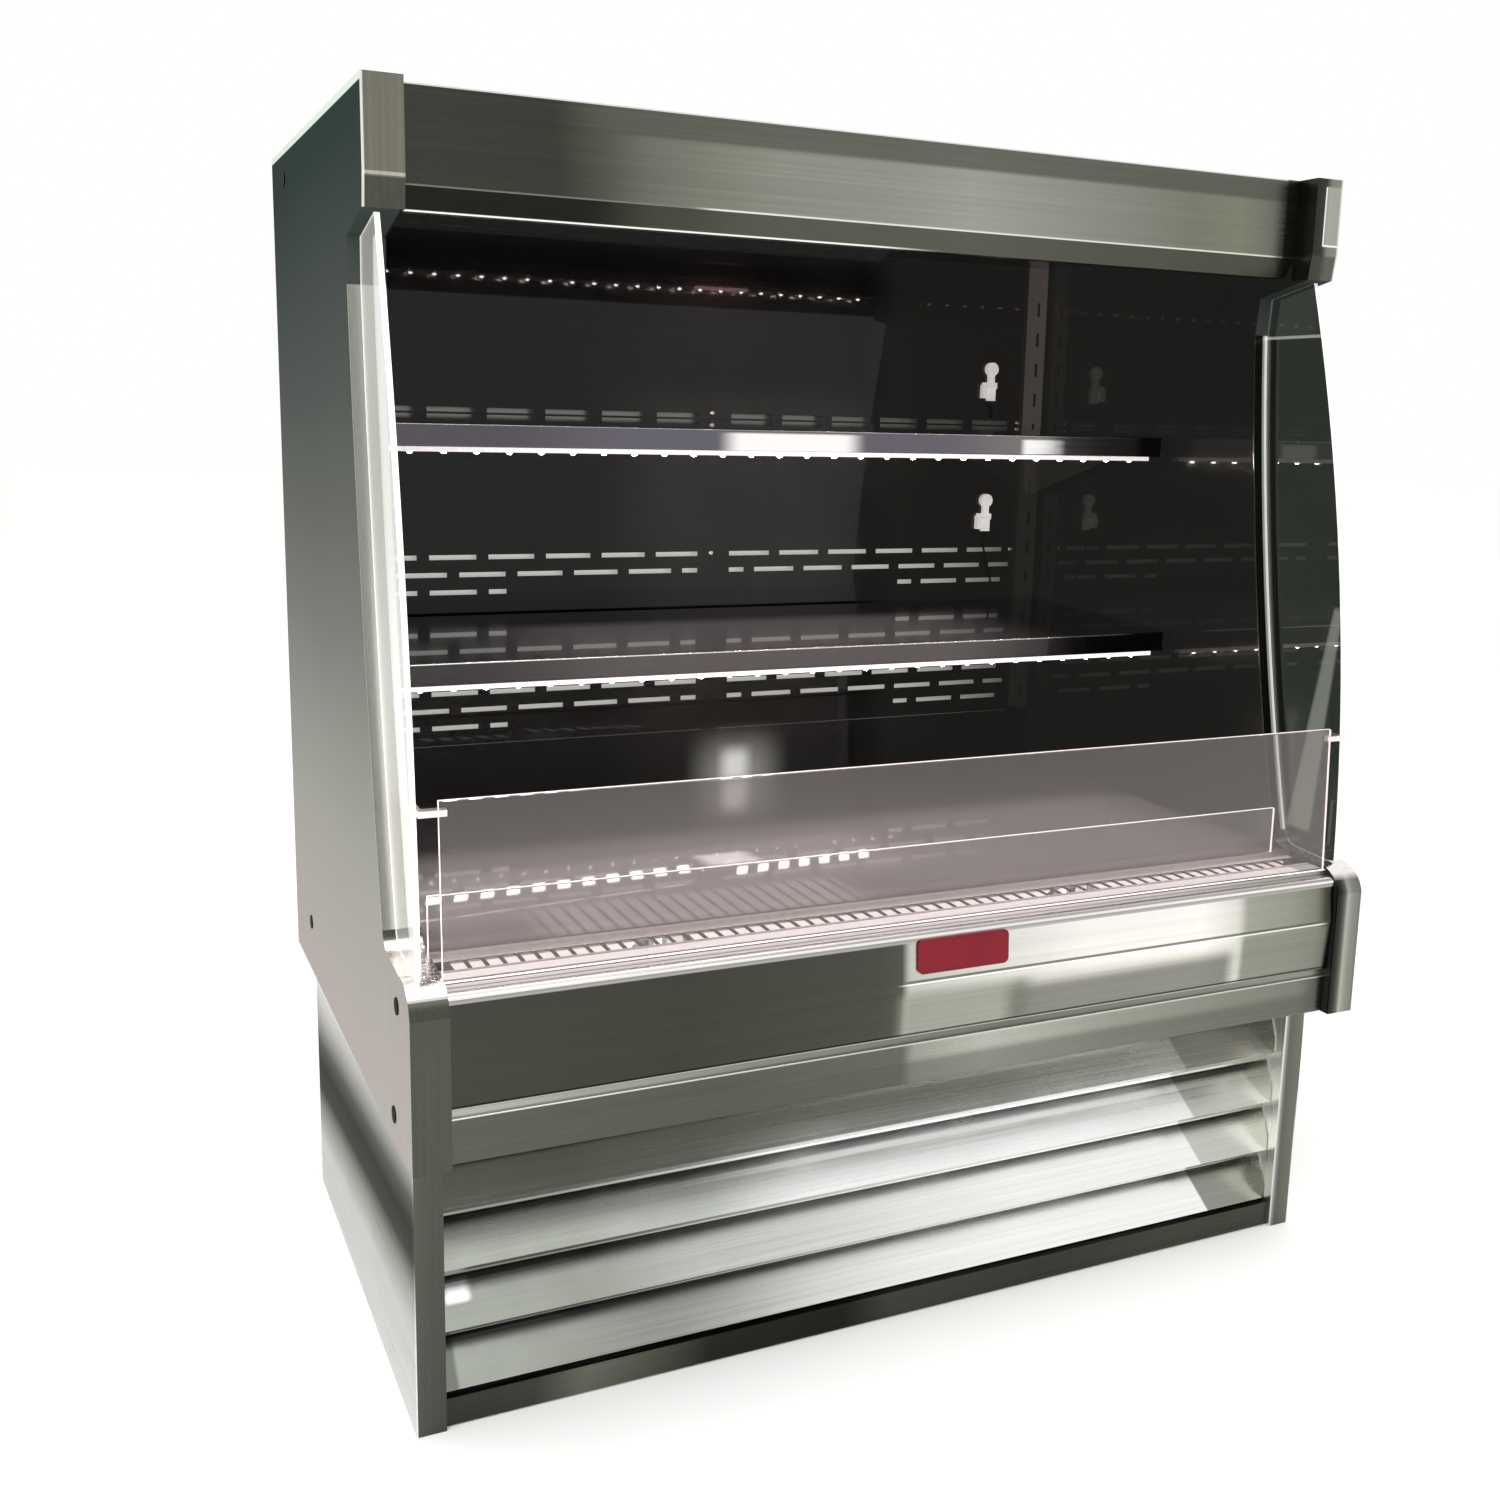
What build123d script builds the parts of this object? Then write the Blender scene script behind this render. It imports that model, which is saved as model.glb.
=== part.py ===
from build123d import *
import os
from math import atan2, cos, degrees, radians, sin

# Open multideck display fridge. Millimetres. X runs left to right, Y runs from the front
# plane of the cabinet (0) to its back, Z is up from the floor. On export everything moves
# half the depth forward, so that the origin is the middle of the footprint.

# overall cabinet
WIDTH = 1295.0
DEPTH = 815.0
HEIGHT = 1474.0
END_THICK = 42.0          # foamed end panel
WALL_FOAM = 40.0          # foamed floor, front and top
BACK_FOAM = 25.0          # foamed back
BODY_Z = 352.0            # underside of the foamed body
SKIN = 2.0                # stainless trims on the end panels
SHEET = 1.2               # folded sheet elsewhere
EDGE_R = 2.0              # outside radius of a plain fold
FIT = 0.3                 # gap left where pieces are set beside each other
SLIP = 0.05               # radial clearance of a running fit

# side outline; a drop is measured down from the top, the rest up from the floor
CANOPY_Y = 147.0          # front of the end caps
CREASE_DROP = 96.0        # crease of the end caps
CAP_DROP = 131.0          # underside of the end caps
CAP_LEAN = 5.0            # the crease leans back this much to the underside
THROAT_Y = 247.0          # innermost corner of the end's throat
THROAT_DROP = 151.0
POST_TOP_Y = 250.0
POST_DROP = 201.0
POST_BOW = 14.5           # how far the slanting edge bows back from a straight line
POST_FOOT = (137.0, 580.0)
FOOT_MID = (129.0, 567.0)   # the slanting edge runs into the cheek in a round
CHEEK_BACK = (114.0, 561.0)
CHEEK_FRONT = (50.0, 556.5)
CHEEK_MID = (14.0, 547.0)
CHEEK_Z = 523.0           # where the rounded cheek meets the front plane

# canopy
PANEL_SETBACK = 36.0      # front panel behind the end caps
FACE_DROP = 101.0         # crease of the front panel
LIP_DROP = 127.0
LIP_OUT = 14.0            # the crease leans back this much to the lip
LIP_DEEP = 17.0
LAMP_SHELF = 36.0
LAMP_DROP = 86.0
LAMP_HIGH = 11.0
LAMP_WIDE = 26.0
LAMP_END = 32.0
CEILING_DROP = 74.0
COMB_DEEP = 48.0
COMB_HIGH = 20.0
COMB_WALL = 1.5
COMB_VANE_PITCH = 31.8
LAMP_EDGE = 4.0           # canopy strip in from the edge of its shelf
LAMP_SLOPE = (8.0, 5.0)   # back edge of the strip's lens: along and up
LAMP_NOSE = 4.0

# back wall inside
DUCT_DEEP = 15.0          # air duct between the perforated wall and the foam
WALL_STEP = 5.0           # the plain lower wall stands this far forward
SEAM_Z = 645.0
SLOT_LONG = 70.0
SLOT_HIGH = 7.0
SLOT_PITCH = 88.3
RIB_WIDE = 54.0           # plain strip down the middle
SLOT_LEVELS = (724.0, 928.0, 1143.0)
ROW_STEP = 26.0
SHORT_ROW = 335.0         # the third row of slots starts this far out from the middle
SPACER = 24.0

# front of the case
TANK_FRONT = 16.0
SILL_Z = 551.5
SILL_FRONT = 27.0
SILL_BACK = 60.0
FRONT_TOP = 545.0
BAND_CREASE = 486.0
BAND_BOTTOM = 415.0
BAND_Y = 9.0
CREASE_Y = 5.0
RAIL_TOP = 405.0
RAIL_Y = 12.0
WALL_TOP = 541.0
NOSE_R = 10.0
SILL_LEDGE = 10.0         # seat of the return grille behind the sill

# glass
GLASS = 6.0
GLASS_EDGE = 1.0          # polished corner of a pane
GLASS_FRONT_Y = 31.0
GLASS_LEAN = 8.0          # the outer glass leans back this much to its top
GLASS_FRONT_TOP = 745.0
GLASS_INNER_Y = 101.0
GLASS_INNER_TOP = 624.0
INNER_SHORT = 33.0        # the inner glass stands against the left end and stops short of the right
GLASS_END_INSET = 14.0    # end glass in from the outer face
END_GLASS_LOW = (36.0, 559.5)
END_GLASS_MID = (75.0, 971.0)
END_GLASS_HIGH_Y = 165.0
CLIP_Z = 729.0
CLIP_HIGH = 7.0
CLIP_WALL = 3.0
CLIP_GRIP = 8.0           # how far a clip reaches over the outer glass
CLIP_FOOT = (5.0, 22.0)   # pad on the end glass: thickness, length behind the outer glass

# return air grille and deck
GRILLE_SLOT = 15.0
GRILLE_PITCH = 19.6
GRILLE_MARGIN = 17.0
GRILLE_EDGE = (5.0, 4.0)  # plain metal before and behind the slots
DECK_Z = 558.0
LEDGE = 16.0
CHANNEL_DEEP = 8.0        # channel of the inner glass, below the deck
CHANNEL_LIP = 3.0
PAN_RIBS = (0.33, 0.67)   # places of a deck pan's ribs along its width
PAN_RIB_HALF = 12.0
PAN_RIB_DEEP = 12.0
PAN_RIB_END = 30.0
PAN_RIB_TAPER = 6.0

# shelves
SHELF_GAP = 8.5           # from a shelf's end to the cabinet's inner side
SHELF_UPPER = (433.0, 1126.0)   # front edge: Y, Z
SHELF_LOWER = (398.0, 831.0)
SHELF_OFF = 18.0          # from a shelf's back to the perforated wall
BACK_FLANGE = 15.0
SHELF_RISE = 0.035        # slope up towards the back
APRON = 29.0
STRIP_HIGH = 6.0
STRIP_WIDE = 14.0
STRIP_SET = 1.5           # strip behind the apron's face
STRIP_END = 20.0
SKIRT_RUN = 60.0          # a skirt reaches its low height this far behind the apron
STANDARD_IN = 22.5        # upright's middle from the cabinet's inner side
STANDARD_WIDE = 30.0
STANDARD_DEEP = 12.0
STANDARD_SLOT = 22.0
STANDARD_PITCH = 50.0
STANDARD_FOOT = 6.0       # upright above the seam of the back wall
STANDARD_FIRST = 20.0     # first slot above the upright's foot
BRACKET = 3.0
BRACKET_START = 30.0      # a bracket's front behind the shelf's
BRACKET_NOSE = 16.0       # height of its front end
BRACKET_SHOULDER = (40.0, 24.0)
HOOK_DROP = 30.0          # upper hook at least this far below the shelf
HOOK_HIGH = 14.0
HOOK_DEEP = 4.0

# base
BASE_INSET = 13.0
BASE_FRONT = 72.0
BASE_OVERHANG = 79.0      # body behind the base
LEG_WIDE = 32.5
LEG_DEEP = 40.0
LEG_GAUGE = 2.0
SIDE_SHEET = 1.5
KICK_TOP = 36.0
KICK_Y = 78.0
KICK_DEEP = 8.0           # lower turn of the kick plate
KICK_SHELF = 24.0         # upper turn, under the louvred front
CROSS_DEEP = 30.0         # width of the front and back rails
RAIL_HIGH = 32.0          # height of the upright flange of the bottom rails
ANGLE_GAUGE = 3.0
RAIL_LOW = 8.0            # underside of the bottom rails
TRAY_Z = 11.0
TRAY_TURN = (16.0, 20.0)  # front and back turn-ups of the tray
BLADE_COUNT = 4
BLADE_PITCH = 75.0
BLADE_LOW = 38.0          # lowest blade edge
BLADE_Y = 88.0
BLADE_DEEP = 42.0
BLADE_RISE = 45.0
BLADE_LIP = (15.0, 12.0)
BLADE_TURN = 10.0         # upright turn at the back of a blade
TOOTH_HIGH = 20.0         # upright edge of each tooth of an end plate
TOOTH_FOOT = 4.0
PLATE_SPARE = 3.0         # end plate behind the blades
HEAD_HIGH = 22.0          # closing strip over the top blade
LOUVER_TOP = 346.0
VENT_ROWS = 9             # slots in the rear sheet
VENT_LOW = 40.0
VENT_PITCH = 26.0
VENT_HIGH = 8.0
VENT_EDGE = 32.0
VENT_FOOT = 34.0          # rear sheet above the bottom rail's underside
GLAND_R = 13.0
GLAND_IN = 35.0
GLAND_OUT = 4.0
REAR_SET = 1.0            # rear sheet in front of the base's back

# machinery
COMPRESSOR_GAP = 130.5    # compressor's middle from the control box
COMPRESSOR_Y = 440.0
COMPRESSOR_R = 88.0
COMPRESSOR_HIGH = 190.0
COMPRESSOR_DOME = 0.3     # share of the height that each dome takes
COMPRESSOR_BASE = 0.55    # share of the radius that the flat base takes
WELD_BAND = 5.0           # belt round the middle of the shell
FOOT_GAUGE = 3.0
FOOT_HALF = (100.0, 75.0)
TERMINAL_HALF = 30.0
TERMINAL_Y = (26.0, 20.0)  # terminal box before and inside the shell's face
TERMINAL_Z = (14.0, 64.0)  # above the shell's middle
STUB_R = 7.0
STUB_X = (12.0, 20.0)     # suction stub inside and outside the shell
STUB_AT = (20.0, 30.0)    # behind and above the shell's middle
MOUNT_HIGH = 15.0
MOUNT_AT = (88.0, 63.0)
MOUNT_R = 13.0
MOUNT_WAIST = 10.0
STUD_R = 4.7
CONDENSER_INSET = 150.5   # condenser from the left post
CONDENSER_LONG = 380.0
CONDENSER_Y = 165.0
CONDENSER_DEEP = 50.0
CONDENSER_TOP = 330.0
CONDENSER_FIN = (13.0, 12.0)   # pitch and depth of the comb
CONDENSER_FOOT = 22.0
CONDENSER_BENDS = (3, 40.0, 36.0)   # number, height of the first, step
END_PLATE = 2.0           # half the thickness of a coil's end plate
END_PLATE_TOP = 4.0
SHROUD_DEEP = 46.0
SHROUD_GAUGE = 2.0
SHROUD_LIP = 18.0         # depth of the round mouth
CONDENSER_FAN_R = 118.0
CONDENSER_HUB_R = 26.0
CONDENSER_CHORD = 74.0
CONDENSER_MOTOR_R = 38.0
CONDENSER_ARM = 14.0      # motor arms stand this far outside the mouth
FAN_GAP = 8.0
FAN_BLADES = 5
MOTOR_REACH = 12.0        # motor behind its plate
MOTOR_ARM = 8.0           # section of a motor's arms
SHAFT_R = 4.0
HUB_DEEP = 24.0
HUB_BACK = 7.0            # blind bore of a hub, short of its front
FAN_SET = 4.0             # a fan's back stands this far behind its plate
EVAP_HALF = 470.0
EVAP_Y = (330.0, 520.0)
EVAP_TOP = 525.0
EVAP_FOOT = 14.0
EVAP_FIN = (20.0, 14.0)
EVAP_BENDS = (2, 15.0, 28.0)
FAN_PLATE_Y = 190.0
EVAP_FAN_X = 300.0
EVAP_FAN_R = 52.0
EVAP_FAN_Z = 468.0
EVAP_FAN_GAP = 4.0
EVAP_HUB_R = 15.0
EVAP_CHORD = 34.0
EVAP_MOTOR_R = 24.0
EVAP_ARM = 10.0
TUBE_R = 5.0
TUBE_SIDES = 10
LINE_BEND = 18.0
LINE_ENTRY = 50.0         # hole for the lines, outside the evaporator
LINE_APART = 8.0          # each line from the middle of that hole
LINE_DROPS = (60.0, 90.0)   # where the lines leave the evaporator, below its top
LIQUID_RISE = 60.0
LIQUID_BACK = 90.0        # liquid line behind the condenser's outlet
LIQUID_IN = 10.0
LIQUID_TURN = 20.0
DRIER_X = (120.0, 210.0)
DRIER_R = 14.0
DRAIN_AT = (0.0, 600.0)
DRAIN_R = 16.0
DRAIN_WALL = 2.5
DRAIN_BEND = 28.0
DRAIN_LOW = 130.0         # bottom of the trap above the tray
TRAP_RISE = 80.0
DRAIN_DIP = 8.0           # outlet below the pan's rim
PAN_HALF = 150.0
PAN_Y = (520.0, 680.0)
PAN_HIGH = 55.0
PAN_WALL = 2.0
BOX_INSET = 40.5          # control box from the right post
BOX_WIDE = 130.0
BOX_Y = (170.0, 250.0)
BOX_Z = (160.0, 310.0)
BOX_STAND = (30.0, 15.0)  # bracket's foot behind the box and its inset from the sides
KNOB_AT = (42.0, 60.0)    # from the box's left and its top
KNOB_R = 17.0
KNOB_HIGH = 16.0
KNOB_RIM = 2.0
KNOB_OFF = 1.0            # knob in front of the box
FLUTES = 12
FLUTE_R = 3.5
FLUTE_OUT = 1.5           # flutes' middles outside the knob
POINTER = (2.4, 1.6)      # width and height of the pointer
ROCKER_AT = (38.0, 60.0)  # from the box's right and its top
ROCKER_R = 9.0
ROCKER_WIDE = 14.0
ROCKER_FLAT = 4.0         # rocker's vee in front of its pin
ROCKER_BACK = 3.0
ROCKER_TILT = 16.0
ROCKER_REST = 8.0
PIN_R = 1.5
PIN_OUT = 3.5
PIN_DEEP = 2.0            # pin behind the box's face
PLUG_R = 9.5
PLUG_HIGH = 1.5
PLUG_TOP = (113.0, 39.0)  # upper rear plug: from the back, from the top
PLUG_REAR = (147.0, 75.0)   # lower rear plug: from the back, above the body's underside
PLUG_CHEEK = (64.0, 4.0)  # front plug: from the front, below the cheek's curve
PLUG_FRONT = (91.0, 33.0)
SOCKET_IN = 106.5         # sockets from the cabinet's inner side
SOCKET_LEVELS = (1231.0, 1012.0)
SOCKET_R = 11.0
SOCKET_DEEP = 9.0
SOCKET_FOOT = 52.0        # underside of a plug below its socket
LEAD_R = 1.8
LEAD_OFF = 4.0            # a lead's middle from the wall
LEAD_BEND = 3.0
LEAD_DROPS = (26.0, 88.0)
# blocks of a plug, from its socket's middle: left, right, depth off the wall, top and foot below
PLUG_BLOCKS = ((5.0, 5.0, 8.0, 6.0, 24.0), (15.0, 9.0, 10.0, 22.0, 32.0), (18.0, -9.0, 10.0, 26.0, 48.0),
               (6.0, 9.0, 6.0, 31.0, SOCKET_FOOT))

# places worked out from the sizes above
HALF = WIDTH / 2
INNER = HALF - END_THICK
CLEAR = INNER - FIT
BACK_Y = DEPTH - BACK_FOAM
INNER_BACK = BACK_Y - DUCT_DEEP
FLOOR_Z = BODY_Z + WALL_FOAM
TOP_Z = HEIGHT - WALL_FOAM
CANOPY_CREASE = HEIGHT - CREASE_DROP
CANOPY_Z = HEIGHT - CAP_DROP
PANEL_Y = CANOPY_Y + PANEL_SETBACK
PANEL_CREASE = HEIGHT - FACE_DROP
LIP_Z = HEIGHT - LIP_DROP
LAMP_Z = HEIGHT - LAMP_DROP
CEILING_Z = HEIGHT - CEILING_DROP
THROAT_BACK = (THROAT_Y, HEIGHT - THROAT_DROP)
POST_TOP = (POST_TOP_Y, HEIGHT - POST_DROP)
POST_MID = ((POST_TOP[0] + POST_FOOT[0]) / 2 + POST_BOW, (POST_TOP[1] + POST_FOOT[1]) / 2)
SHELF_HALF = INNER - SHELF_GAP
SHELF_BACK = INNER_BACK - SHELF_OFF
STANDARD_X = INNER - STANDARD_IN
SOCKET_X = INNER - SOCKET_IN
BASE_BACK = DEPTH - BASE_OVERHANG
TRAY_TOP = TRAY_Z + SIDE_SHEET
LAMP_BACK = PANEL_Y + LIP_OUT + LIP_DEEP + LAMP_SHELF
KICK_BACK = KICK_Y + KICK_DEEP
BASE_HALF = HALF - BASE_INSET
LEG_OUT = BASE_HALF - SIDE_SHEET
LEG_IN = LEG_OUT - LEG_WIDE
WALL_BACK = TANK_FRONT + WALL_FOAM + 2
WALL_FRONT = INNER_BACK - WALL_STEP
BOX_X = (LEG_IN - BOX_INSET - BOX_WIDE, LEG_IN - BOX_INSET)
COMPRESSOR_AT = (BOX_X[0] - COMPRESSOR_GAP, COMPRESSOR_Y)
CONDENSER_X = (-LEG_IN + CONDENSER_INSET, -LEG_IN + CONDENSER_INSET + CONDENSER_LONG)


def block(x, y, z):
    """Rectangular block between pairs of limits."""
    centre = Pos((x[0] + x[1]) / 2, (y[0] + y[1]) / 2, (z[0] + z[1]) / 2)
    return centre * Box(x[1] - x[0], y[1] - y[0], z[1] - z[0])


def cylinder_y(x, y, z, radius):
    """Round bar along Y."""
    return Pos(x, (y[0] + y[1]) / 2, z) * Rot(90, 0, 0) * Cylinder(radius, y[1] - y[0])


def cylinder_x(x, y, z, radius):
    """Round bar along X."""
    return Pos((x[0] + x[1]) / 2, y, z) * Rot(0, 90, 0) * Cylinder(radius, x[1] - x[0])


def cylinder_z(x, y, z, radius):
    """Round bar along Z."""
    return Pos(x, y, (z[0] + z[1]) / 2) * Cylinder(radius, z[1] - z[0])


def along_x(outline, x0, x1):
    """Side-view outline, a face in (Y, Z), carried across the cabinet from x0 to x1."""
    return extrude(Plane.YZ.offset(x0) * outline, amount=x1 - x0, dir=(1, 0, 0))


def polygon(*points):
    """Closed face through points in the side view."""
    return make_face(Polyline(*points, close=True))


def both(part):
    """The part and its mirror image across the middle of the cabinet."""
    return part + mirror(part, about=Plane.YZ)


def offset_point(before, here, after, gauge):
    """Corner of a sheet's inner face, mitred, on the right of the way along its outer face."""
    normals = []
    for a, b in ((before, here), (here, after)):
        if a is not None and b is not None:
            angle = atan2(b[1] - a[1], b[0] - a[0])
            normals.append((sin(angle), -cos(angle)))
    if len(normals) == 1:
        normals.append(normals[0])
    (u, v), (p, q) = normals
    share = gauge / (1 + u * p + v * q)
    return (here[0] + (u + p) * share, here[1] + (v + q) * share)


def folded(points, gauge=SHEET, bends=None):
    """Side view of a folded sheet. Points run along the outer face with the metal on the
    right; bends gives the outer radius of chosen corners by index."""
    ends = [None, *points, None]
    inner = [offset_point(ends[i], ends[i + 1], ends[i + 2], gauge) for i in range(len(points))]
    face = polygon(*points, *reversed(inner))
    for index, radius in (bends or {}).items():
        a, b, c = points[index - 1], points[index], points[index + 1]
        right_turn = (b[0] - a[0]) * (c[1] - b[1]) - (b[1] - a[1]) * (c[0] - b[0]) < 0
        corners = ((points[index], radius), (inner[index], radius - gauge))
        if not right_turn:
            corners = ((inner[index], radius), (points[index], radius - gauge))
        for corner, size in corners:
            near = face.vertices().sort_by_distance((corner[0], corner[1], 0))[0]
            face = fillet(near, size)
    return face


def post_arc(shift=0.0):
    """Slanting front edge of an end panel."""
    return ThreePointArc(*((y + shift, z) for y, z in (POST_TOP, POST_MID, POST_FOOT)))


def foot_arc(inset=0.0):
    """Round between the slanting edge and the top of the cheek."""
    middle = (FOOT_MID[0] + inset * 0.7, FOOT_MID[1] - inset * 0.7)
    return ThreePointArc((POST_FOOT[0] + inset, POST_FOOT[1]), middle, (CHEEK_BACK[0], CHEEK_BACK[1] - inset))


def cheek_top(inset=0.0):
    """Foot of the slanting edge and the top of the cheek in front of it."""
    top = Line((CHEEK_BACK[0], CHEEK_BACK[1] - inset), (CHEEK_FRONT[0], CHEEK_FRONT[1] - inset))
    return foot_arc(inset) + top


def cheek_arc(inset=0.0):
    """Rounded top of an end panel's lower front."""
    start = (CHEEK_FRONT[0], CHEEK_FRONT[1] - inset)
    middle = (CHEEK_MID[0] + inset * 0.7, CHEEK_MID[1] - inset * 0.7)
    return ThreePointArc(start, middle, (inset, CHEEK_Z))


# --- foamed body -------------------------------------------------------------------------

def cap_line():
    """Outer face of an end cap, from its underside up to its top."""
    return [(CANOPY_Y + CAP_LEAN, CANOPY_Z), (CANOPY_Y, CANOPY_CREASE), (CANOPY_Y, HEIGHT)]


def cap_seat():
    """Face of the end panel that the cap lies on."""
    low, crease, high = cap_line()
    return [offset_point(None, low, crease, SKIN), offset_point(low, crease, high, SKIN),
            offset_point(crease, high, None, SKIN)]


def end_panel():
    """Right-hand foamed end, with its throat for the end glass and its lower cheek."""
    low, crease, high = cap_seat()
    edge = post_arc(SKIN)
    rest = Polyline((SKIN, CHEEK_Z), (SKIN, BODY_Z), (DEPTH, BODY_Z), (DEPTH, HEIGHT), high, crease,
                    low, THROAT_BACK, (POST_TOP[0] + SKIN, POST_TOP[1]))
    outline = make_face(cheek_top(SKIN) + edge + rest + cheek_arc(SKIN))
    return along_x(outline, INNER, HALF)


def end_trim():
    """Stainless cap over the front and the rounded top of the cheek."""
    outer = Polyline((0, CHEEK_Z), (0, BODY_Z), (SKIN, BODY_Z), (SKIN, CHEEK_Z))
    close = Line(POST_FOOT, (POST_FOOT[0] + SKIN, POST_FOOT[1]))
    outline = make_face(cheek_top() + close + cheek_top(SKIN) + cheek_arc(SKIN) + outer + cheek_arc())
    return along_x(outline, INNER, HALF)


def post_trim():
    """Stainless strip over the slanting front edge of an end panel."""
    top = Line(POST_TOP, (POST_TOP[0] + SKIN, POST_TOP[1]))
    foot = Line(POST_FOOT, (POST_FOOT[0] + SKIN, POST_FOOT[1]))
    return along_x(make_face(post_arc() + top + post_arc(SKIN) + foot), INNER, HALF)


def canopy_cap():
    """Stainless cap over the front of an end panel, with a return to the canopy panel."""
    cap = along_x(folded(cap_line(), SKIN), INNER - SIDE_SHEET, HALF)
    low, crease, high = cap_seat()
    back = polygon(low, crease, high, (PANEL_Y + SKIN, HEIGHT), (PANEL_Y + SKIN, LIP_Z),
                   (PANEL_Y, low[1]))
    return cap + along_x(back, INNER - SIDE_SHEET, INNER)


def end_glass():
    """Curved-front glass that fills the throat of an end."""
    out = HALF - GLASS_END_INSET
    cap_y, cap_z = cap_seat()[0]
    slope = (THROAT_BACK[1] - cap_z) / (THROAT_BACK[0] - cap_y)
    high = (END_GLASS_HIGH_Y, cap_z + slope * (END_GLASS_HIGH_Y - cap_y) - 2 * FIT)
    arc = ThreePointArc(END_GLASS_LOW, END_GLASS_MID, high)
    rest = Polyline(high, (THROAT_BACK[0] - FIT, THROAT_BACK[1] - 2 * FIT),
                    (POST_TOP[0] - FIT, POST_TOP[1]))
    edge = post_arc(-FIT)
    nose = Line((CHEEK_FRONT[0], CHEEK_FRONT[1] + FIT), END_GLASS_LOW)
    return along_x(make_face(arc + rest + edge + cheek_top(-FIT) + nose), out - GLASS, out)


def tank():
    """Foamed floor and front of the display well, with drain and pipe holes."""
    outline = polygon((TANK_FRONT, BODY_Z), (TANK_FRONT, WALL_TOP), (WALL_BACK, WALL_TOP),
                      (WALL_BACK, FLOOR_Z), (BACK_Y, FLOOR_Z), (BACK_Y, BODY_Z))
    well = along_x(outline, -INNER, INNER)
    well -= cylinder_z(DRAIN_AT[0], DRAIN_AT[1], (BODY_Z - 1, FLOOR_Z + 1), DRAIN_R + FIT)
    return well - cylinder_z(*line_entry(), (BODY_Z - 1, FLOOR_Z + 1), 3 * TUBE_R)


def line_entry():
    """Where the refrigerant lines pass through the floor of the well."""
    return EVAP_HALF + LINE_ENTRY, sum(EVAP_Y) / 2


def back_panel():
    """Foamed back between the ends."""
    return block((-INNER, INNER), (BACK_Y, DEPTH), (BODY_Z, HEIGHT))


def top_panel():
    """Foamed top between the canopy and the back."""
    return block((-INNER + SIDE_SHEET, INNER - SIDE_SHEET), (PANEL_Y + SIDE_SHEET, BACK_Y), (TOP_Z, HEIGHT))


# --- canopy and air ways ------------------------------------------------------------------

def canopy_panel():
    """Folded front of the canopy: shelf for the lamp, lip, crease and face."""
    lip_front = PANEL_Y + LIP_OUT
    lip_back = lip_front + LIP_DEEP
    face = folded([(lip_back + LAMP_SHELF, LAMP_Z), (lip_back, LAMP_Z), (lip_back, LIP_Z),
                   (lip_front, LIP_Z), (PANEL_Y, PANEL_CREASE), (PANEL_Y, HEIGHT)], SIDE_SHEET)
    side = INNER - SIDE_SHEET - FIT
    return along_x(face, -side, side)


def canopy_lamp():
    """Light strip hung under the canopy's shelf, with a sloping lens."""
    back = LAMP_BACK - LAMP_EDGE
    front = back - LAMP_WIDE
    low = LAMP_Z - LAMP_HIGH
    along, up = LAMP_SLOPE
    outline = polygon((back, LAMP_Z), (back, low + up), (back - along, low), (front + LAMP_NOSE, low),
                      (front, low + LAMP_NOSE), (front, LAMP_Z))
    return along_x(outline, -INNER + LAMP_END, INNER - LAMP_END)


def ceiling_panel():
    """Sheet under the top that carries the air forward, turned down behind the comb."""
    comb_back = comb_front() + COMB_DEEP
    face = folded([(INNER_BACK + SHEET, CEILING_Z), (comb_back + FIT + SHEET, CEILING_Z),
                   (comb_back + FIT + SHEET, CEILING_Z - COMB_HIGH)], SHEET)
    return along_x(face, -CLEAR, CLEAR)


def comb_front():
    """Front of the air comb, just behind the lamp's shelf."""
    return LAMP_BACK + FIT


def air_comb():
    """Comb of vanes that straightens the falling curtain of air."""
    front, low = comb_front(), CEILING_Z - COMB_HIGH
    frame = block((-CLEAR, CLEAR), (front, front + COMB_DEEP), (low, CEILING_Z))
    count = round(2 * CLEAR / COMB_VANE_PITCH)
    step = 2 * CLEAR / count
    wall = COMB_WALL
    middle = front + COMB_DEEP / 2
    for row in ((front + wall, middle - wall / 2), (middle + wall / 2, front + COMB_DEEP - wall)):
        cells = [block((-CLEAR + step * i + wall / 2, -CLEAR + step * (i + 1) - wall / 2), row,
                       (low - 1, CEILING_Z + 1)) for i in range(count)]
        frame -= cells
    return frame


def slot_row(z, shift, near):
    """One row of air slots on the right half of the back wall, from a distance near the middle."""
    low, high = RIB_WIDE / 2, STANDARD_X - STANDARD_WIDE
    columns = int((high - low + shift) // SLOT_PITCH) + 1
    starts = [low + SLOT_PITCH * i - shift for i in range(columns)]
    spans = [(max(start, near), min(start + SLOT_LONG, high)) for start in starts]
    return [block(span, (INNER_BACK - 1, INNER_BACK + SHEET + 1), (z - SLOT_HIGH / 2, z + SLOT_HIGH / 2))
            for span in spans if span[1] > near + SLOT_HIGH]


def rear_duct_panel():
    """Perforated inner back with its spacer ribs."""
    wall = block((-CLEAR, CLEAR), (INNER_BACK, INNER_BACK + SHEET), (SEAM_Z, CEILING_Z - FIT))
    slots = []
    for level in SLOT_LEVELS:
        slots += slot_row(level, 0, RIB_WIDE / 2)
        slots += slot_row(level - ROW_STEP, SLOT_PITCH / 2, RIB_WIDE / 2)
        slots += slot_row(level - 2 * ROW_STEP, 0, SHORT_ROW)
    for slot in slots:
        wall -= [slot, mirror(slot, about=Plane.YZ)]
    rib = (INNER_BACK + SHEET, BACK_Y)
    for x in (0, -CLEAR + SPACER, CLEAR - SPACER):
        wall += block((x - SPACER / 2, x + SPACER / 2), rib, (SEAM_Z, CEILING_Z - 2 * SPACER))
    return wall


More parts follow.
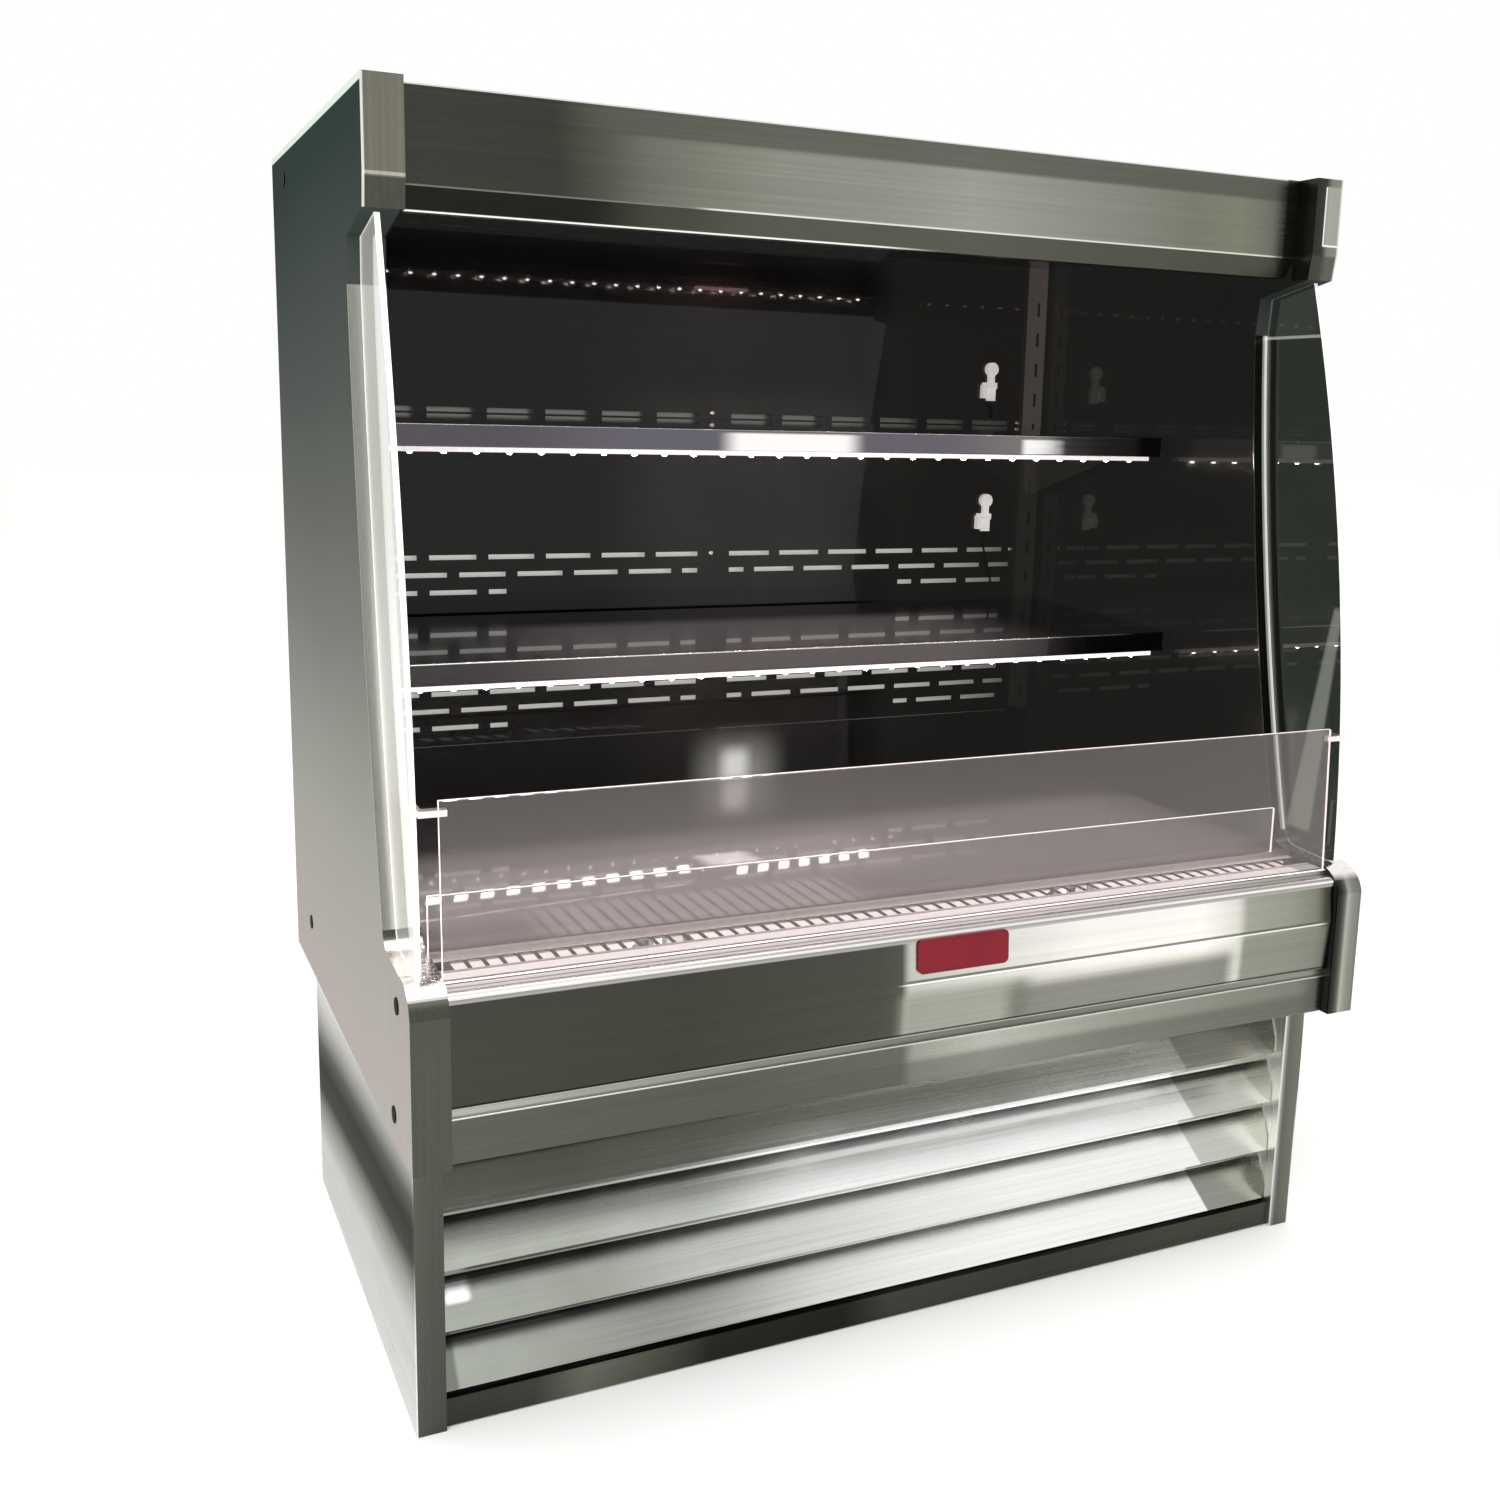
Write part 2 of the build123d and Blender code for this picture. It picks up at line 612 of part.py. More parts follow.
def lower_duct_panel():
    """Plain wall between the deck and the perforated back."""
    face = folded([(WALL_FRONT, WALL_TOP + 8), (WALL_FRONT, SEAM_Z - FIT), (BACK_Y, SEAM_Z - FIT)], SHEET)
    return along_x(face, -CLEAR, CLEAR)


# --- well front, glass and deck -----------------------------------------------------------

def sill_rail():
    """Stainless sill: glass groove, top and the ledge that the return grille sits on."""
    groove = (GLASS_FRONT_Y - FIT, GLASS_FRONT_Y + GLASS + FIT)
    deep = WALL_TOP + 2 * SHEET
    face = folded([(SILL_FRONT, WALL_TOP), (SILL_FRONT, SILL_Z), (groove[0], SILL_Z), (groove[0], deep),
                   (groove[1], deep), (groove[1], SILL_Z), (SILL_BACK, SILL_Z), (SILL_BACK, deep),
                   (SILL_BACK + SILL_LEDGE, deep)], SHEET, {1: EDGE_R, 6: EDGE_R})
    return along_x(face, -CLEAR, CLEAR)


def front_glass():
    """Low outer glass across the front."""
    low = WALL_TOP + 2 * SHEET
    y = glass_front_at(GLASS_FRONT_TOP)
    shoulder = GLASS_FRONT_TOP - GLASS_EDGE
    outline = polygon((GLASS_FRONT_Y, low), (GLASS_FRONT_Y, SILL_Z + FIT), (y, shoulder),
                      (y + GLASS_EDGE, GLASS_FRONT_TOP), (y + GLASS - GLASS_EDGE, GLASS_FRONT_TOP),
                      (y + GLASS, shoulder), (GLASS_FRONT_Y + GLASS, SILL_Z + FIT),
                      (GLASS_FRONT_Y + GLASS, low))
    return along_x(outline, -CLEAR, CLEAR)


def glass_front_at(z):
    """Front face of the outer glass at a height above the sill."""
    return GLASS_FRONT_Y + GLASS_LEAN * (z - SILL_Z) / (GLASS_FRONT_TOP - SILL_Z)


def glass_clip():
    """Clip that holds the right end of the outer glass to the end glass."""
    inner_face = HALF - GLASS_END_INSET - GLASS - FIT
    z = (CLIP_Z, CLIP_Z + CLIP_HIGH)
    y = (glass_front_at(z[0]) - CLIP_WALL, glass_front_at(z[1]) + GLASS + CLIP_WALL)
    gap = (y[0] + CLIP_WALL - FIT, y[1] - CLIP_WALL + FIT)
    thick, long = CLIP_FOOT
    arm = block((CLEAR - CLIP_GRIP, inner_face), y, z)
    arm -= block((CLEAR - CLIP_GRIP - 1, CLEAR + FIT), gap, (z[0] - 1, z[1] + 1))
    return arm + block((inner_face - thick, inner_face), (y[0], y[1] + long), z)


def inner_glass():
    """Low glass between the return grille and the deck."""
    y = (GLASS_INNER_Y, GLASS_INNER_Y + GLASS)
    pane = block((-CLEAR, CLEAR - INNER_SHORT), y, (channel_floor(), GLASS_INNER_TOP))
    return chamfer(pane.edges().filter_by(Axis.X).group_by(Axis.Z)[-1], GLASS_EDGE)


def channel_floor():
    """Bottom of the inner glass channel."""
    return DECK_Z - CHANNEL_DEEP


def deck_support():
    """Channel for the inner glass with ledges for the grille and the deck pans."""
    floor = channel_floor()
    front = GLASS_INNER_Y - FIT / 2
    back = GLASS_INNER_Y + GLASS + FIT / 2
    lip = DECK_Z + CHANNEL_LIP
    channel = polygon((front - SHEET, floor - SHEET), (front - SHEET, lip), (front, lip), (front, floor),
                      (back, floor), (back, lip), (back + SHEET, lip), (back + SHEET, floor - SHEET))
    frame = along_x(channel, -CLEAR, CLEAR)
    low = (floor - SHEET, SILL_Z - SHEET - FIT)
    frame += block((-CLEAR, CLEAR), (front - SHEET - LEDGE / 2, front - SHEET), low)
    top = DECK_Z - SIDE_SHEET - FIT
    ledge = (top - LEG_GAUGE, top)
    rear = WALL_FRONT - FIT
    frame += block((-CLEAR, CLEAR), (back + SHEET, back + SHEET + LEDGE), ledge)
    frame += block((-CLEAR, CLEAR), (rear - LEDGE, rear), ledge)
    for x in ((-CLEAR, -CLEAR + LEDGE), (-LEDGE, LEDGE), (CLEAR - LEDGE, CLEAR)):
        frame += block(x, (back + SHEET, rear), ledge)
    for x in (-CLEAR, CLEAR - LEG_GAUGE):
        frame += block((x, x + LEG_GAUGE), (back + SHEET, rear), (FLOOR_Z, top))
    return frame


def deck_pan():
    """Right-hand lift-out deck pan with two stiffening ribs underneath."""
    front = GLASS_INNER_Y + GLASS + FIT / 2 + SHEET + FIT
    rear = WALL_FRONT - FIT
    x = (FIT, CLEAR - LEG_GAUGE)
    pan = block(x, (front, rear), (DECK_Z - SIDE_SHEET, DECK_Z))
    under, low = DECK_Z - SIDE_SHEET, DECK_Z - PAN_RIB_DEEP
    ends = (front + PAN_RIB_END, rear - PAN_RIB_END)
    rib = polygon((ends[0], under), (ends[0] + PAN_RIB_TAPER, low), (ends[1] - PAN_RIB_TAPER, low),
                  (ends[1], under))
    for place in PAN_RIBS:
        at = x[0] + (x[1] - x[0]) * place
        pan += along_x(rib, at - PAN_RIB_HALF, at + PAN_RIB_HALF)
    return pan


def return_grille():
    """Slotted strip that the air falls through, with a front flange on the sill's ledge."""
    front = SILL_BACK + FIT
    rear = GLASS_INNER_Y - FIT / 2 - SHEET - FIT
    face = folded([(front, WALL_TOP + 2 * SHEET + FIT), (front, SILL_Z), (rear, SILL_Z)], SHEET)
    strip = along_x(face, -CLEAR, CLEAR)
    count = int((2 * CLEAR - GRILLE_MARGIN) // GRILLE_PITCH)
    first = -GRILLE_PITCH * (count - 1) / 2
    y = (front + GRILLE_EDGE[0], rear - GRILLE_EDGE[1])
    z = (SILL_Z - SHEET - 1, SILL_Z + 1)
    slots = []
    for i in range(count):
        x = first + GRILLE_PITCH * i
        slots.append(block((x - GRILLE_SLOT / 2, x + GRILLE_SLOT / 2), y, z))
    return strip - slots


def front_panel():
    """Stainless front with a rounded nose and a crease between its two bands."""
    face = folded([(TANK_FRONT, BAND_BOTTOM), (BAND_Y, BAND_BOTTOM), (CREASE_Y, BAND_CREASE),
                   (BAND_Y, FRONT_TOP), (SILL_FRONT - 1, FRONT_TOP)], SHEET, {3: NOSE_R, 1: EDGE_R})
    return along_x(face, -CLEAR, CLEAR)


def lower_rail():
    """Narrow rail under the front panel."""
    face = folded([(TANK_FRONT, BODY_Z + 1), (RAIL_Y, BODY_Z + 1), (RAIL_Y, RAIL_TOP),
                   (TANK_FRONT, RAIL_TOP)], SHEET, {1: EDGE_R, 2: EDGE_R})
    return along_x(face, -CLEAR, CLEAR)


# --- shelves --------------------------------------------------------------------------------

def shelf_height(front, y):
    """Height of a shelf's top at a distance from the cabinet's front."""
    return front[1] + (y - front[0]) * SHELF_RISE


def shelf_pan(front):
    """Shelf with a front apron, a turned-down back and side skirts."""
    y, z = front
    back_z = shelf_height(front, SHELF_BACK)
    face = folded([(y + STRIP_WIDE + 2, z - APRON), (y, z - APRON), (y, z), (SHELF_BACK, back_z),
                   (SHELF_BACK, back_z - BACK_FLANGE)], SHEET, {1: EDGE_R, 2: EDGE_R})
    pan = along_x(face, -SHELF_HALF, SHELF_HALF)
    skirt = polygon((y + SHEET / 2, z - APRON + SHEET / 2), (y + SHEET / 2, z - SHEET / 2),
                    (SHELF_BACK - SHEET / 2, back_z - SHEET / 2),
                    (SHELF_BACK - SHEET / 2, back_z - BACK_FLANGE + 1), (y + SKIRT_RUN, z - BACK_FLANGE + 1))
    return pan + both(along_x(skirt, SHELF_HALF - SHEET, SHELF_HALF))


def shelf_lamp(front):
    """Light strip under a shelf's apron, with a rounded lens at the front."""
    y, z = front[0] + STRIP_SET, front[1] - APRON
    outline = polygon((y, z), (y, z - STRIP_HIGH), (y + STRIP_WIDE, z - STRIP_HIGH),
                      (y + STRIP_WIDE, z))
    return along_x(outline, -SHELF_HALF + STRIP_END, SHELF_HALF - STRIP_END)


def standard():
    """Slotted upright at the right of the back wall."""
    x = (STANDARD_X - STANDARD_WIDE / 2, STANDARD_X + STANDARD_WIDE / 2)
    y = (INNER_BACK - STANDARD_DEEP, INNER_BACK)
    z = (SEAM_Z + STANDARD_FOOT, CEILING_Z - FIT)
    rail = block(x, y, z)
    rail -= block((x[0] + LEG_GAUGE, x[1] - LEG_GAUGE), (y[0] + LEG_GAUGE, y[1] + 1), (z[0] - 1, z[1] + 1))
    count = int((z[1] - z[0]) // STANDARD_PITCH)
    lows = [z[0] + STANDARD_FIRST + STANDARD_PITCH * i for i in range(count)]
    slots = [block((STANDARD_X - BRACKET, STANDARD_X + BRACKET), (y[0] - 1, y[0] + LEG_GAUGE + 1),
                   (low, low + STANDARD_SLOT)) for low in lows]
    return rail - slots


def hook_level(front):
    """Lower end of the upright's slot that a bracket's upper hook sits in."""
    first = SEAM_Z + STANDARD_FOOT + STANDARD_FIRST
    want = shelf_height(front, SHELF_BACK) - HOOK_DROP
    return first + STANDARD_PITCH * int((want - first) // STANDARD_PITCH)


def bracket(front):
    """Cantilever arm under the right of a shelf, hooked into the upright."""
    face_y = INNER_BACK - STANDARD_DEEP
    start = front[0] + BRACKET_START
    top = shelf_height(front, start)
    run, drop = BRACKET_SHOULDER
    under = SHEET + FIT
    rear_top = shelf_height(front, SHELF_BACK - SHEET - FIT) - under
    notch = shelf_height(front, face_y) - under - BRACKET_NOSE
    rear = SHELF_BACK - SHEET - 2 * FIT
    hook = hook_level(front)
    foot = hook - STANDARD_PITCH
    arm = polygon((start, top - under), (start, top - BRACKET_NOSE), (start + run, top - drop),
                  (face_y, foot + LEG_GAUGE), (face_y, notch), (rear, notch), (rear, rear_top))
    tip = face_y + LEG_GAUGE + HOOK_DEEP
    for level in (hook, foot):
        arm += polygon((face_y - BRACKET, level + HOOK_HIGH), (face_y - BRACKET, level + FIT),
                       (tip, level + FIT), (tip, level + HOOK_HIGH))
    return along_x(arm, STANDARD_X - BRACKET / 2, STANDARD_X + BRACKET / 2)


def lamp_socket(z):
    """Round low-voltage socket on the back wall with a right-angled plug below it."""
    body = cylinder_y(SOCKET_X, (INNER_BACK - SOCKET_DEEP, INNER_BACK), z, SOCKET_R)
    for left, right, deep, top, foot in PLUG_BLOCKS:
        body += block((SOCKET_X - left, SOCKET_X + right), (INNER_BACK - deep, INNER_BACK), (z - foot, z - top))
    return body


def lamp_lead(z, drop):
    """Thin lead from under a plug down to its hole in the back wall."""
    x, y = SOCKET_X, INNER_BACK - LEAD_OFF
    top = z - SOCKET_FOOT
    return pipe([(x, y, top), (x, y, top - drop / 3), (x + drop / 5, y, top - drop),
                 (x + drop / 5, INNER_BACK, top - drop)], LEAD_R, LEAD_BEND)


# --- base -------------------------------------------------------------------------------------

def leg(y0, y1, open_back):
    """Right-hand corner post, a channel open towards the inside of the base."""
    post = block((LEG_IN, LEG_OUT), (y0, y1), (0, BODY_Z))
    inside = (y0 + LEG_GAUGE, y1 + 1) if open_back else (y0 - 1, y1 - LEG_GAUGE)
    return post - block((LEG_IN + LEG_GAUGE, LEG_OUT - LEG_GAUGE), inside, (-1, BODY_Z + 1))


def base_frame():
    """Four corner posts joined by angle rails near the floor."""
    frame = both(leg(BASE_FRONT, BASE_FRONT + LEG_DEEP, True))
    frame += both(leg(BASE_BACK - LEG_DEEP, BASE_BACK, False))
    rail_y = (BASE_FRONT + LEG_DEEP / 2, BASE_BACK - LEG_DEEP / 2)
    high = RAIL_LOW + RAIL_HIGH
    rail = block((LEG_IN + LEG_GAUGE, LEG_OUT - LEG_GAUGE), rail_y, (RAIL_LOW, TRAY_Z))
    rail += block((LEG_OUT - 2 * LEG_GAUGE, LEG_OUT - LEG_GAUGE), rail_y, (RAIL_LOW, high))
    frame += both(rail)
    cross = folded([(KICK_BACK + CROSS_DEEP, RAIL_LOW), (KICK_BACK, RAIL_LOW),
                    (KICK_BACK, KICK_TOP - 2 * ANGLE_GAUGE)], TRAY_Z - RAIL_LOW)
    frame += along_x(cross, -LEG_IN - LEG_GAUGE, LEG_IN + LEG_GAUGE)
    back = BASE_BACK - 2 * ANGLE_GAUGE
    rear = polygon((back - CROSS_DEEP, RAIL_LOW), (back, RAIL_LOW), (back, high), (back - ANGLE_GAUGE, high),
                   (back - ANGLE_GAUGE, TRAY_Z), (back - CROSS_DEEP, TRAY_Z))
    return frame + along_x(rear, -LEG_IN - LEG_GAUGE, LEG_IN + LEG_GAUGE)


def base_sides():
    """Stainless side sheets of the base."""
    return both(block((LEG_OUT, BASE_HALF), (BASE_FRONT, BASE_BACK), (0, BODY_Z)))


def kick_plate():
    """Plate that closes the base below the louvres."""
    face = folded([(KICK_BACK, SKIN), (KICK_Y, SKIN), (KICK_Y, KICK_TOP), (KICK_Y + KICK_SHELF, KICK_TOP)],
                  SHEET)
    return along_x(face, -LEG_IN + FIT, LEG_IN - FIT)


def rear_grille():
    """Slotted sheet between the rear posts, with a gland for the supply lead."""
    y = (BASE_BACK - REAR_SET - SHEET, BASE_BACK - REAR_SET)
    z = (RAIL_LOW + VENT_FOOT, BODY_Z - FIT)
    sheet = block((-LEG_IN, LEG_IN), y, z)
    slots = []
    step = 2 * LEG_IN / 3
    for x in (-step, 0, step):
        for row in range(VENT_ROWS):
            low = z[0] + VENT_LOW + row * VENT_PITCH
            slots.append(block((x - step / 2 + VENT_EDGE, x + step / 2 - VENT_EDGE), (y[0] - 1, y[1] + 1),
                               (low, low + VENT_HIGH)))
    sheet -= slots
    at, level = LEG_IN - GLAND_IN, z[0] + VENT_LOW / 2
    gland = cylinder_y(at, (y[0] - GLAND_OUT, y[1] + REAR_SET), level, GLAND_R)
    return sheet + gland - cylinder_y(at, (y[0] - GLAND_OUT - 1, y[1] + REAR_SET + 1), level, GLAND_R / 2)


def machine_tray():
    """Floor of the machine compartment, turned up at the front and back."""
    front = KICK_BACK + TRAY_Z - RAIL_LOW + FIT
    back = BASE_BACK - 3 * ANGLE_GAUGE - FIT
    face = folded([(back, TRAY_Z + TRAY_TURN[1]), (back, TRAY_Z), (front, TRAY_Z),
                   (front, TRAY_Z + TRAY_TURN[0])], SIDE_SHEET)
    return along_x(face, -LEG_IN + FIT, LEG_IN - FIT)


def louver_panel():
    """Lift-off front with leaning blades between saw-toothed end plates."""
    side = LEG_IN - FIT
    lows = [BLADE_LOW + BLADE_PITCH * i for i in range(BLADE_COUNT)]
    rear = BLADE_Y + BLADE_DEEP
    lip_y, lip_z = BLADE_LIP
    foot = KICK_TOP + FIT
    edge = [(BLADE_Y + TOOTH_FOOT, foot)]
    for low in lows:
        edge += [(BLADE_Y, low), (BLADE_Y, low + TOOTH_HIGH), (BLADE_Y + lip_y, low + BLADE_PITCH - lip_z)]
    plate = polygon(*edge, (BLADE_Y + lip_y, LOUVER_TOP), (rear + PLATE_SPARE, LOUVER_TOP),
                    (rear + PLATE_SPARE, foot))
    panel = both(along_x(plate, side - SIDE_SHEET, side))
    for low in lows:
        lip = [(BLADE_Y + lip_y, low - lip_z)] if low > lows[0] else []
        back = low + BLADE_RISE
        blade = folded([*lip, (BLADE_Y, low), (rear, back), (rear, back + BLADE_TURN)])
        panel += along_x(blade, -side + SHEET, side - SHEET)
    front = BLADE_Y + lip_y
    head = folded([(front, LOUVER_TOP - HEAD_HIGH), (front, LOUVER_TOP), (rear, LOUVER_TOP)], SHEET)
    return panel + along_x(head, -side + SHEET, side - SHEET)


# --- machinery --------------------------------------------------------------------------------

def compressor():
    """Hermetic shell on its foot plate, with a terminal box and a suction stub."""
    x, y = COMPRESSOR_AT
    foot = TRAY_TOP + MOUNT_HIGH
    low, high = compressor_span()
    middle = (low + high) / 2
    r, belt = COMPRESSOR_R, COMPRESSOR_R + WELD_BAND
    dome = (high - low) * COMPRESSOR_DOME
    crown = [(r * cos(radians(a)), high - dome + dome * sin(radians(a))) for a in (0, 25, 50, 75)]
    side = Polyline((0, low), (r * COMPRESSOR_BASE, low), (r, low + dome), (r, middle - WELD_BAND),
                    (belt, middle - WELD_BAND), (belt, middle + WELD_BAND), (r, middle + WELD_BAND), *crown,
                    (0, high), close=True)
    shell = Pos(x, y, 0) * revolve(make_face(Plane.XZ * side), Axis.Z)
    wide, deep = FOOT_HALF
    plate = block((x - wide, x + wide), (y - deep, y + deep), (foot, foot + FOOT_GAUGE))
    for px, py in mount_places():
        plate -= cylinder_z(px, py, (foot - 1, foot + FOOT_GAUGE + 1), STUD_R + FIT)
    box = block((x - TERMINAL_HALF, x + TERMINAL_HALF), (y - r - TERMINAL_Y[0], y - r + TERMINAL_Y[1]),
                (middle + TERMINAL_Z[0], middle + TERMINAL_Z[1]))
    stub = cylinder_x((x + r - STUB_X[0], x + r + STUB_X[1]), y + STUB_AT[0], middle + STUB_AT[1], STUB_R)
    return shell + plate + box + stub


def compressor_span():
    """Bottom and top of the compressor's shell."""
    low = TRAY_TOP + MOUNT_HIGH + FOOT_GAUGE
    return low, low + COMPRESSOR_HIGH


def mount_places():
    """Centres of the four rubber mounts under the compressor."""
    x, y = COMPRESSOR_AT
    across, back = MOUNT_AT
    return [(x + dx, y + dy) for dx in (-across, across) for dy in (-back, back)]


def compressor_mounts():
    """Waisted rubber mounts between the tray and the compressor's foot plate."""
    high = TRAY_TOP + MOUNT_HIGH
    middle = (TRAY_TOP + high) / 2
    stud = high + FOOT_GAUGE
    half = Polyline((0, TRAY_TOP), (MOUNT_R, TRAY_TOP), (MOUNT_WAIST, middle), (MOUNT_R, high),
                    (STUD_R, high), (STUD_R, stud), (0, stud), close=True)
    mount = revolve(make_face(Plane.XZ * half), Axis.Z)
    return Compound([Pos(px, py, 0) * mount for px, py in mount_places()])


def finned_block(x, y, z, comb):
    """Coil block whose fins stand as a comb on its front face."""
    pitch, deep = comb
    count = int((x[1] - x[0]) // pitch)
    fin = pitch * 0.35
    front = []
    for i in range(count):
        left = x[0] + pitch * i
        front += [(left, y[0]), (left + fin, y[0]), (left + fin, y[0] + deep), (left + pitch, y[0] + deep)]
    front += [(x[1], y[0]), (x[1], y[1]), (x[0], y[1])]
    face = make_face(Polyline(*front, close=True))
    return extrude(Pos(0, 0, z[0]) * face, amount=z[1] - z[0], dir=(0, 0, 1))


def return_bends(x, y, foot, layout, direction):
    """Hairpin bends that stand out of a coil's end."""
    count, rise, step = layout
    z0 = foot + rise
    bends = []
    for i in range(count):
        low = z0 + 2 * step * i
        arc = ThreePointArc((x, y, low), (x + direction * step / 2, y, low + step / 2), (x, y, low + step))
        bends.append(sweep(Plane(origin=(x, y, low), z_dir=(direction, 0, 0)) * ring(TUBE_R), path=arc))
    return bends


def condenser_coil():
    """Finned condenser between end plates that stand on the tray."""
    x = CONDENSER_X
    y = (CONDENSER_Y, CONDENSER_Y + CONDENSER_DEEP)
    low = TRAY_TOP + CONDENSER_FOOT
    coil = finned_block((x[0] + END_PLATE, x[1] - END_PLATE), y, (low, CONDENSER_TOP), CONDENSER_FIN)
    for side in x:
        coil += block((side - END_PLATE, side + END_PLATE), y, (TRAY_TOP, CONDENSER_TOP + END_PLATE_TOP))
    for bend in return_bends(x[1] + END_PLATE, (y[0] + y[1]) / 2, low, CONDENSER_BENDS, 1):
        coil += bend
    return coil


def condenser_shroud():
    """Shroud behind the condenser with a round mouth for the fan."""
    x = (CONDENSER_X[0] - END_PLATE, CONDENSER_X[1] + END_PLATE)
    y = (CONDENSER_Y + CONDENSER_DEEP, CONDENSER_Y + CONDENSER_DEEP + SHROUD_DEEP)
    z = (TRAY_TOP, CONDENSER_TOP)
    wall = SHROUD_GAUGE
    shroud = block(x, y, z)
    shroud -= block((x[0] + wall, x[1] - wall), (y[0] - 1, y[1] - wall), (z[0] + wall, z[1] - wall))
    cx, cz = fan_centre()
    mouth = CONDENSER_FAN_R + FAN_GAP
    shroud += cylinder_y(cx, (y[1] - SHROUD_LIP, y[1]), cz, mouth + wall)
    return shroud - cylinder_y(cx, (y[1] - SHROUD_LIP - 1, y[1] + 1), cz, mouth)


def fan_centre():
    """Centre of the condenser fan in the front view."""
    return (CONDENSER_X[0] + CONDENSER_X[1]) / 2, (TRAY_TOP + CONDENSER_TOP) / 2


def motor(x, z, plate_y, radius, arm):
    """Fan motor behind a plate, with its shaft forward and three arms to the plate."""
    face = plate_y + MOTOR_REACH
    back = face + radius * 1.1
    can = cylinder_y(x, (face, back), z, radius)
    can = chamfer(can.edges().filter_by(GeomType.CIRCLE).group_by(Axis.Y)[-1], radius * 0.2)
    can += cylinder_y(x, (plate_y + FAN_SET - HUB_DEEP + HUB_BACK + 1, face + 1), z, SHAFT_R)
    half = MOTOR_ARM / 2
    for i in range(3):
        angle = radians(90 + 120 * i)
        foot = (x + arm * cos(angle), plate_y, z + arm * sin(angle))
        bar = Plane(origin=foot, z_dir=(0, 1, 0)) * Rectangle(MOTOR_ARM, MOTOR_ARM)
        can += extrude(bar, amount=MOTOR_REACH + half + 6, dir=(0, 1, 0))
        reach = (radius * 0.5, arm + half)
        middle = (reach[0] + reach[1]) / 2
        spoke = Rot(0, -degrees(angle), 0) * Box(reach[1] - reach[0], MOTOR_ARM, MOTOR_ARM)
        can += Pos(x + middle * cos(angle), face + half + 2, z + middle * sin(angle)) * spoke
    return can


def condenser_motor():
    """Motor of the condenser fan, held on the shroud."""
    x, z = fan_centre()
    plate = CONDENSER_Y + CONDENSER_DEEP + SHROUD_DEEP
    return motor(x, z, plate, CONDENSER_MOTOR_R, CONDENSER_FAN_R + FAN_GAP + CONDENSER_ARM)


def fan_blade(radius, hub, chord):
    """Cambered blade with a swept leading edge and a round tip, standing out along X."""
    strip = chord / 3
    bend = [(-chord / 2, -chord * 0.22), (-strip / 2, -chord * 0.01), (strip / 2, chord * 0.13),
            (chord / 2, chord * 0.20)]
    section = Plane(origin=(hub * 0.9, 0, 0), x_dir=(0, 1, 0), z_dir=(1, 0, 0)) * folded(bend, SKIN)
    blade = extrude(section, amount=radius - hub * 0.9, dir=(1, 0, 0))
    root, tip = hub * 0.7, radius + 1
    edge = ThreePointArc((root, -chord * 0.28), (radius * 0.72, -chord * 0.44), (tip, -chord * 0.14))
    shape = make_face(edge + Polyline((tip, -chord * 0.14), (tip, chord * 0.42), (root, chord * 0.3),
                                      (root, -chord * 0.28)))
    blade &= extrude(shape, amount=chord, both=True)
    return blade & Cylinder(radius, 2 * chord)


def fan(x, z, plate_y, radius, hub, chord):
    """Axial fan: hub with a blind bore for the shaft, and its blades."""
    body = Cylinder(hub, HUB_DEEP)
    body = chamfer(body.edges().filter_by(GeomType.CIRCLE).group_by(Axis.Z)[-1], hub * 0.15)
    blade = fan_blade(radius, hub, chord)
    for i in range(FAN_BLADES):
        body += Rot(0, 0, 360 / FAN_BLADES * i) * blade
    body -= Pos(0, 0, -HUB_BACK) * Cylinder(SHAFT_R + SLIP, HUB_DEEP)
    return Pos(x, plate_y + FAN_SET - HUB_DEEP / 2, z) * Rot(90, 0, 0) * body


def condenser_fan():
    """Fan in the mouth of the condenser shroud."""
    x, z = fan_centre()
    plate = CONDENSER_Y + CONDENSER_DEEP + SHROUD_DEEP
    return fan(x, z, plate, CONDENSER_FAN_R, CONDENSER_HUB_R, CONDENSER_CHORD)


def evaporator_fan_plate():
    """Plate across the well that the evaporator fans blow through."""
    plate = block((-CLEAR + LEG_GAUGE + FIT, CLEAR - LEG_GAUGE - FIT), (FAN_PLATE_Y, FAN_PLATE_Y + SIDE_SHEET),
                  (FLOOR_Z, WALL_TOP))
    for x in (-EVAP_FAN_X, EVAP_FAN_X):
        plate -= cylinder_y(x, (FAN_PLATE_Y - 1, FAN_PLATE_Y + SIDE_SHEET + 1), EVAP_FAN_Z,
                            EVAP_FAN_R + EVAP_FAN_GAP)
    return plate


def evaporator_motors():
    """Two small fan motors on arms behind the fan plate."""
    plate = FAN_PLATE_Y + SIDE_SHEET
    return Compound([motor(x, EVAP_FAN_Z, plate, EVAP_MOTOR_R, EVAP_FAN_R + EVAP_ARM)
                     for x in (-EVAP_FAN_X, EVAP_FAN_X)])


def evaporator_fan(x):
    """One evaporator fan."""
    return fan(x, EVAP_FAN_Z, FAN_PLATE_Y + SIDE_SHEET, EVAP_FAN_R, EVAP_HUB_R, EVAP_CHORD)


def evaporator_coil():
    """Finned evaporator standing in the well under the deck."""
    low = FLOOR_Z + EVAP_FOOT
    inner = EVAP_HALF - END_PLATE
    coil = finned_block((-inner, inner), EVAP_Y, (low, EVAP_TOP), EVAP_FIN)
    for side in (-EVAP_HALF, EVAP_HALF):
        coil += block((side - END_PLATE, side + END_PLATE), EVAP_Y, (FLOOR_Z, EVAP_TOP + END_PLATE_TOP))
    for bend in return_bends(-EVAP_HALF - END_PLATE, sum(EVAP_Y) / 2, low, EVAP_BENDS, -1):
        coil += bend
    return coil


def ring(radius):
    """Section of a tube, with few sides."""
    return RegularPolygon(radius, TUBE_SIDES)


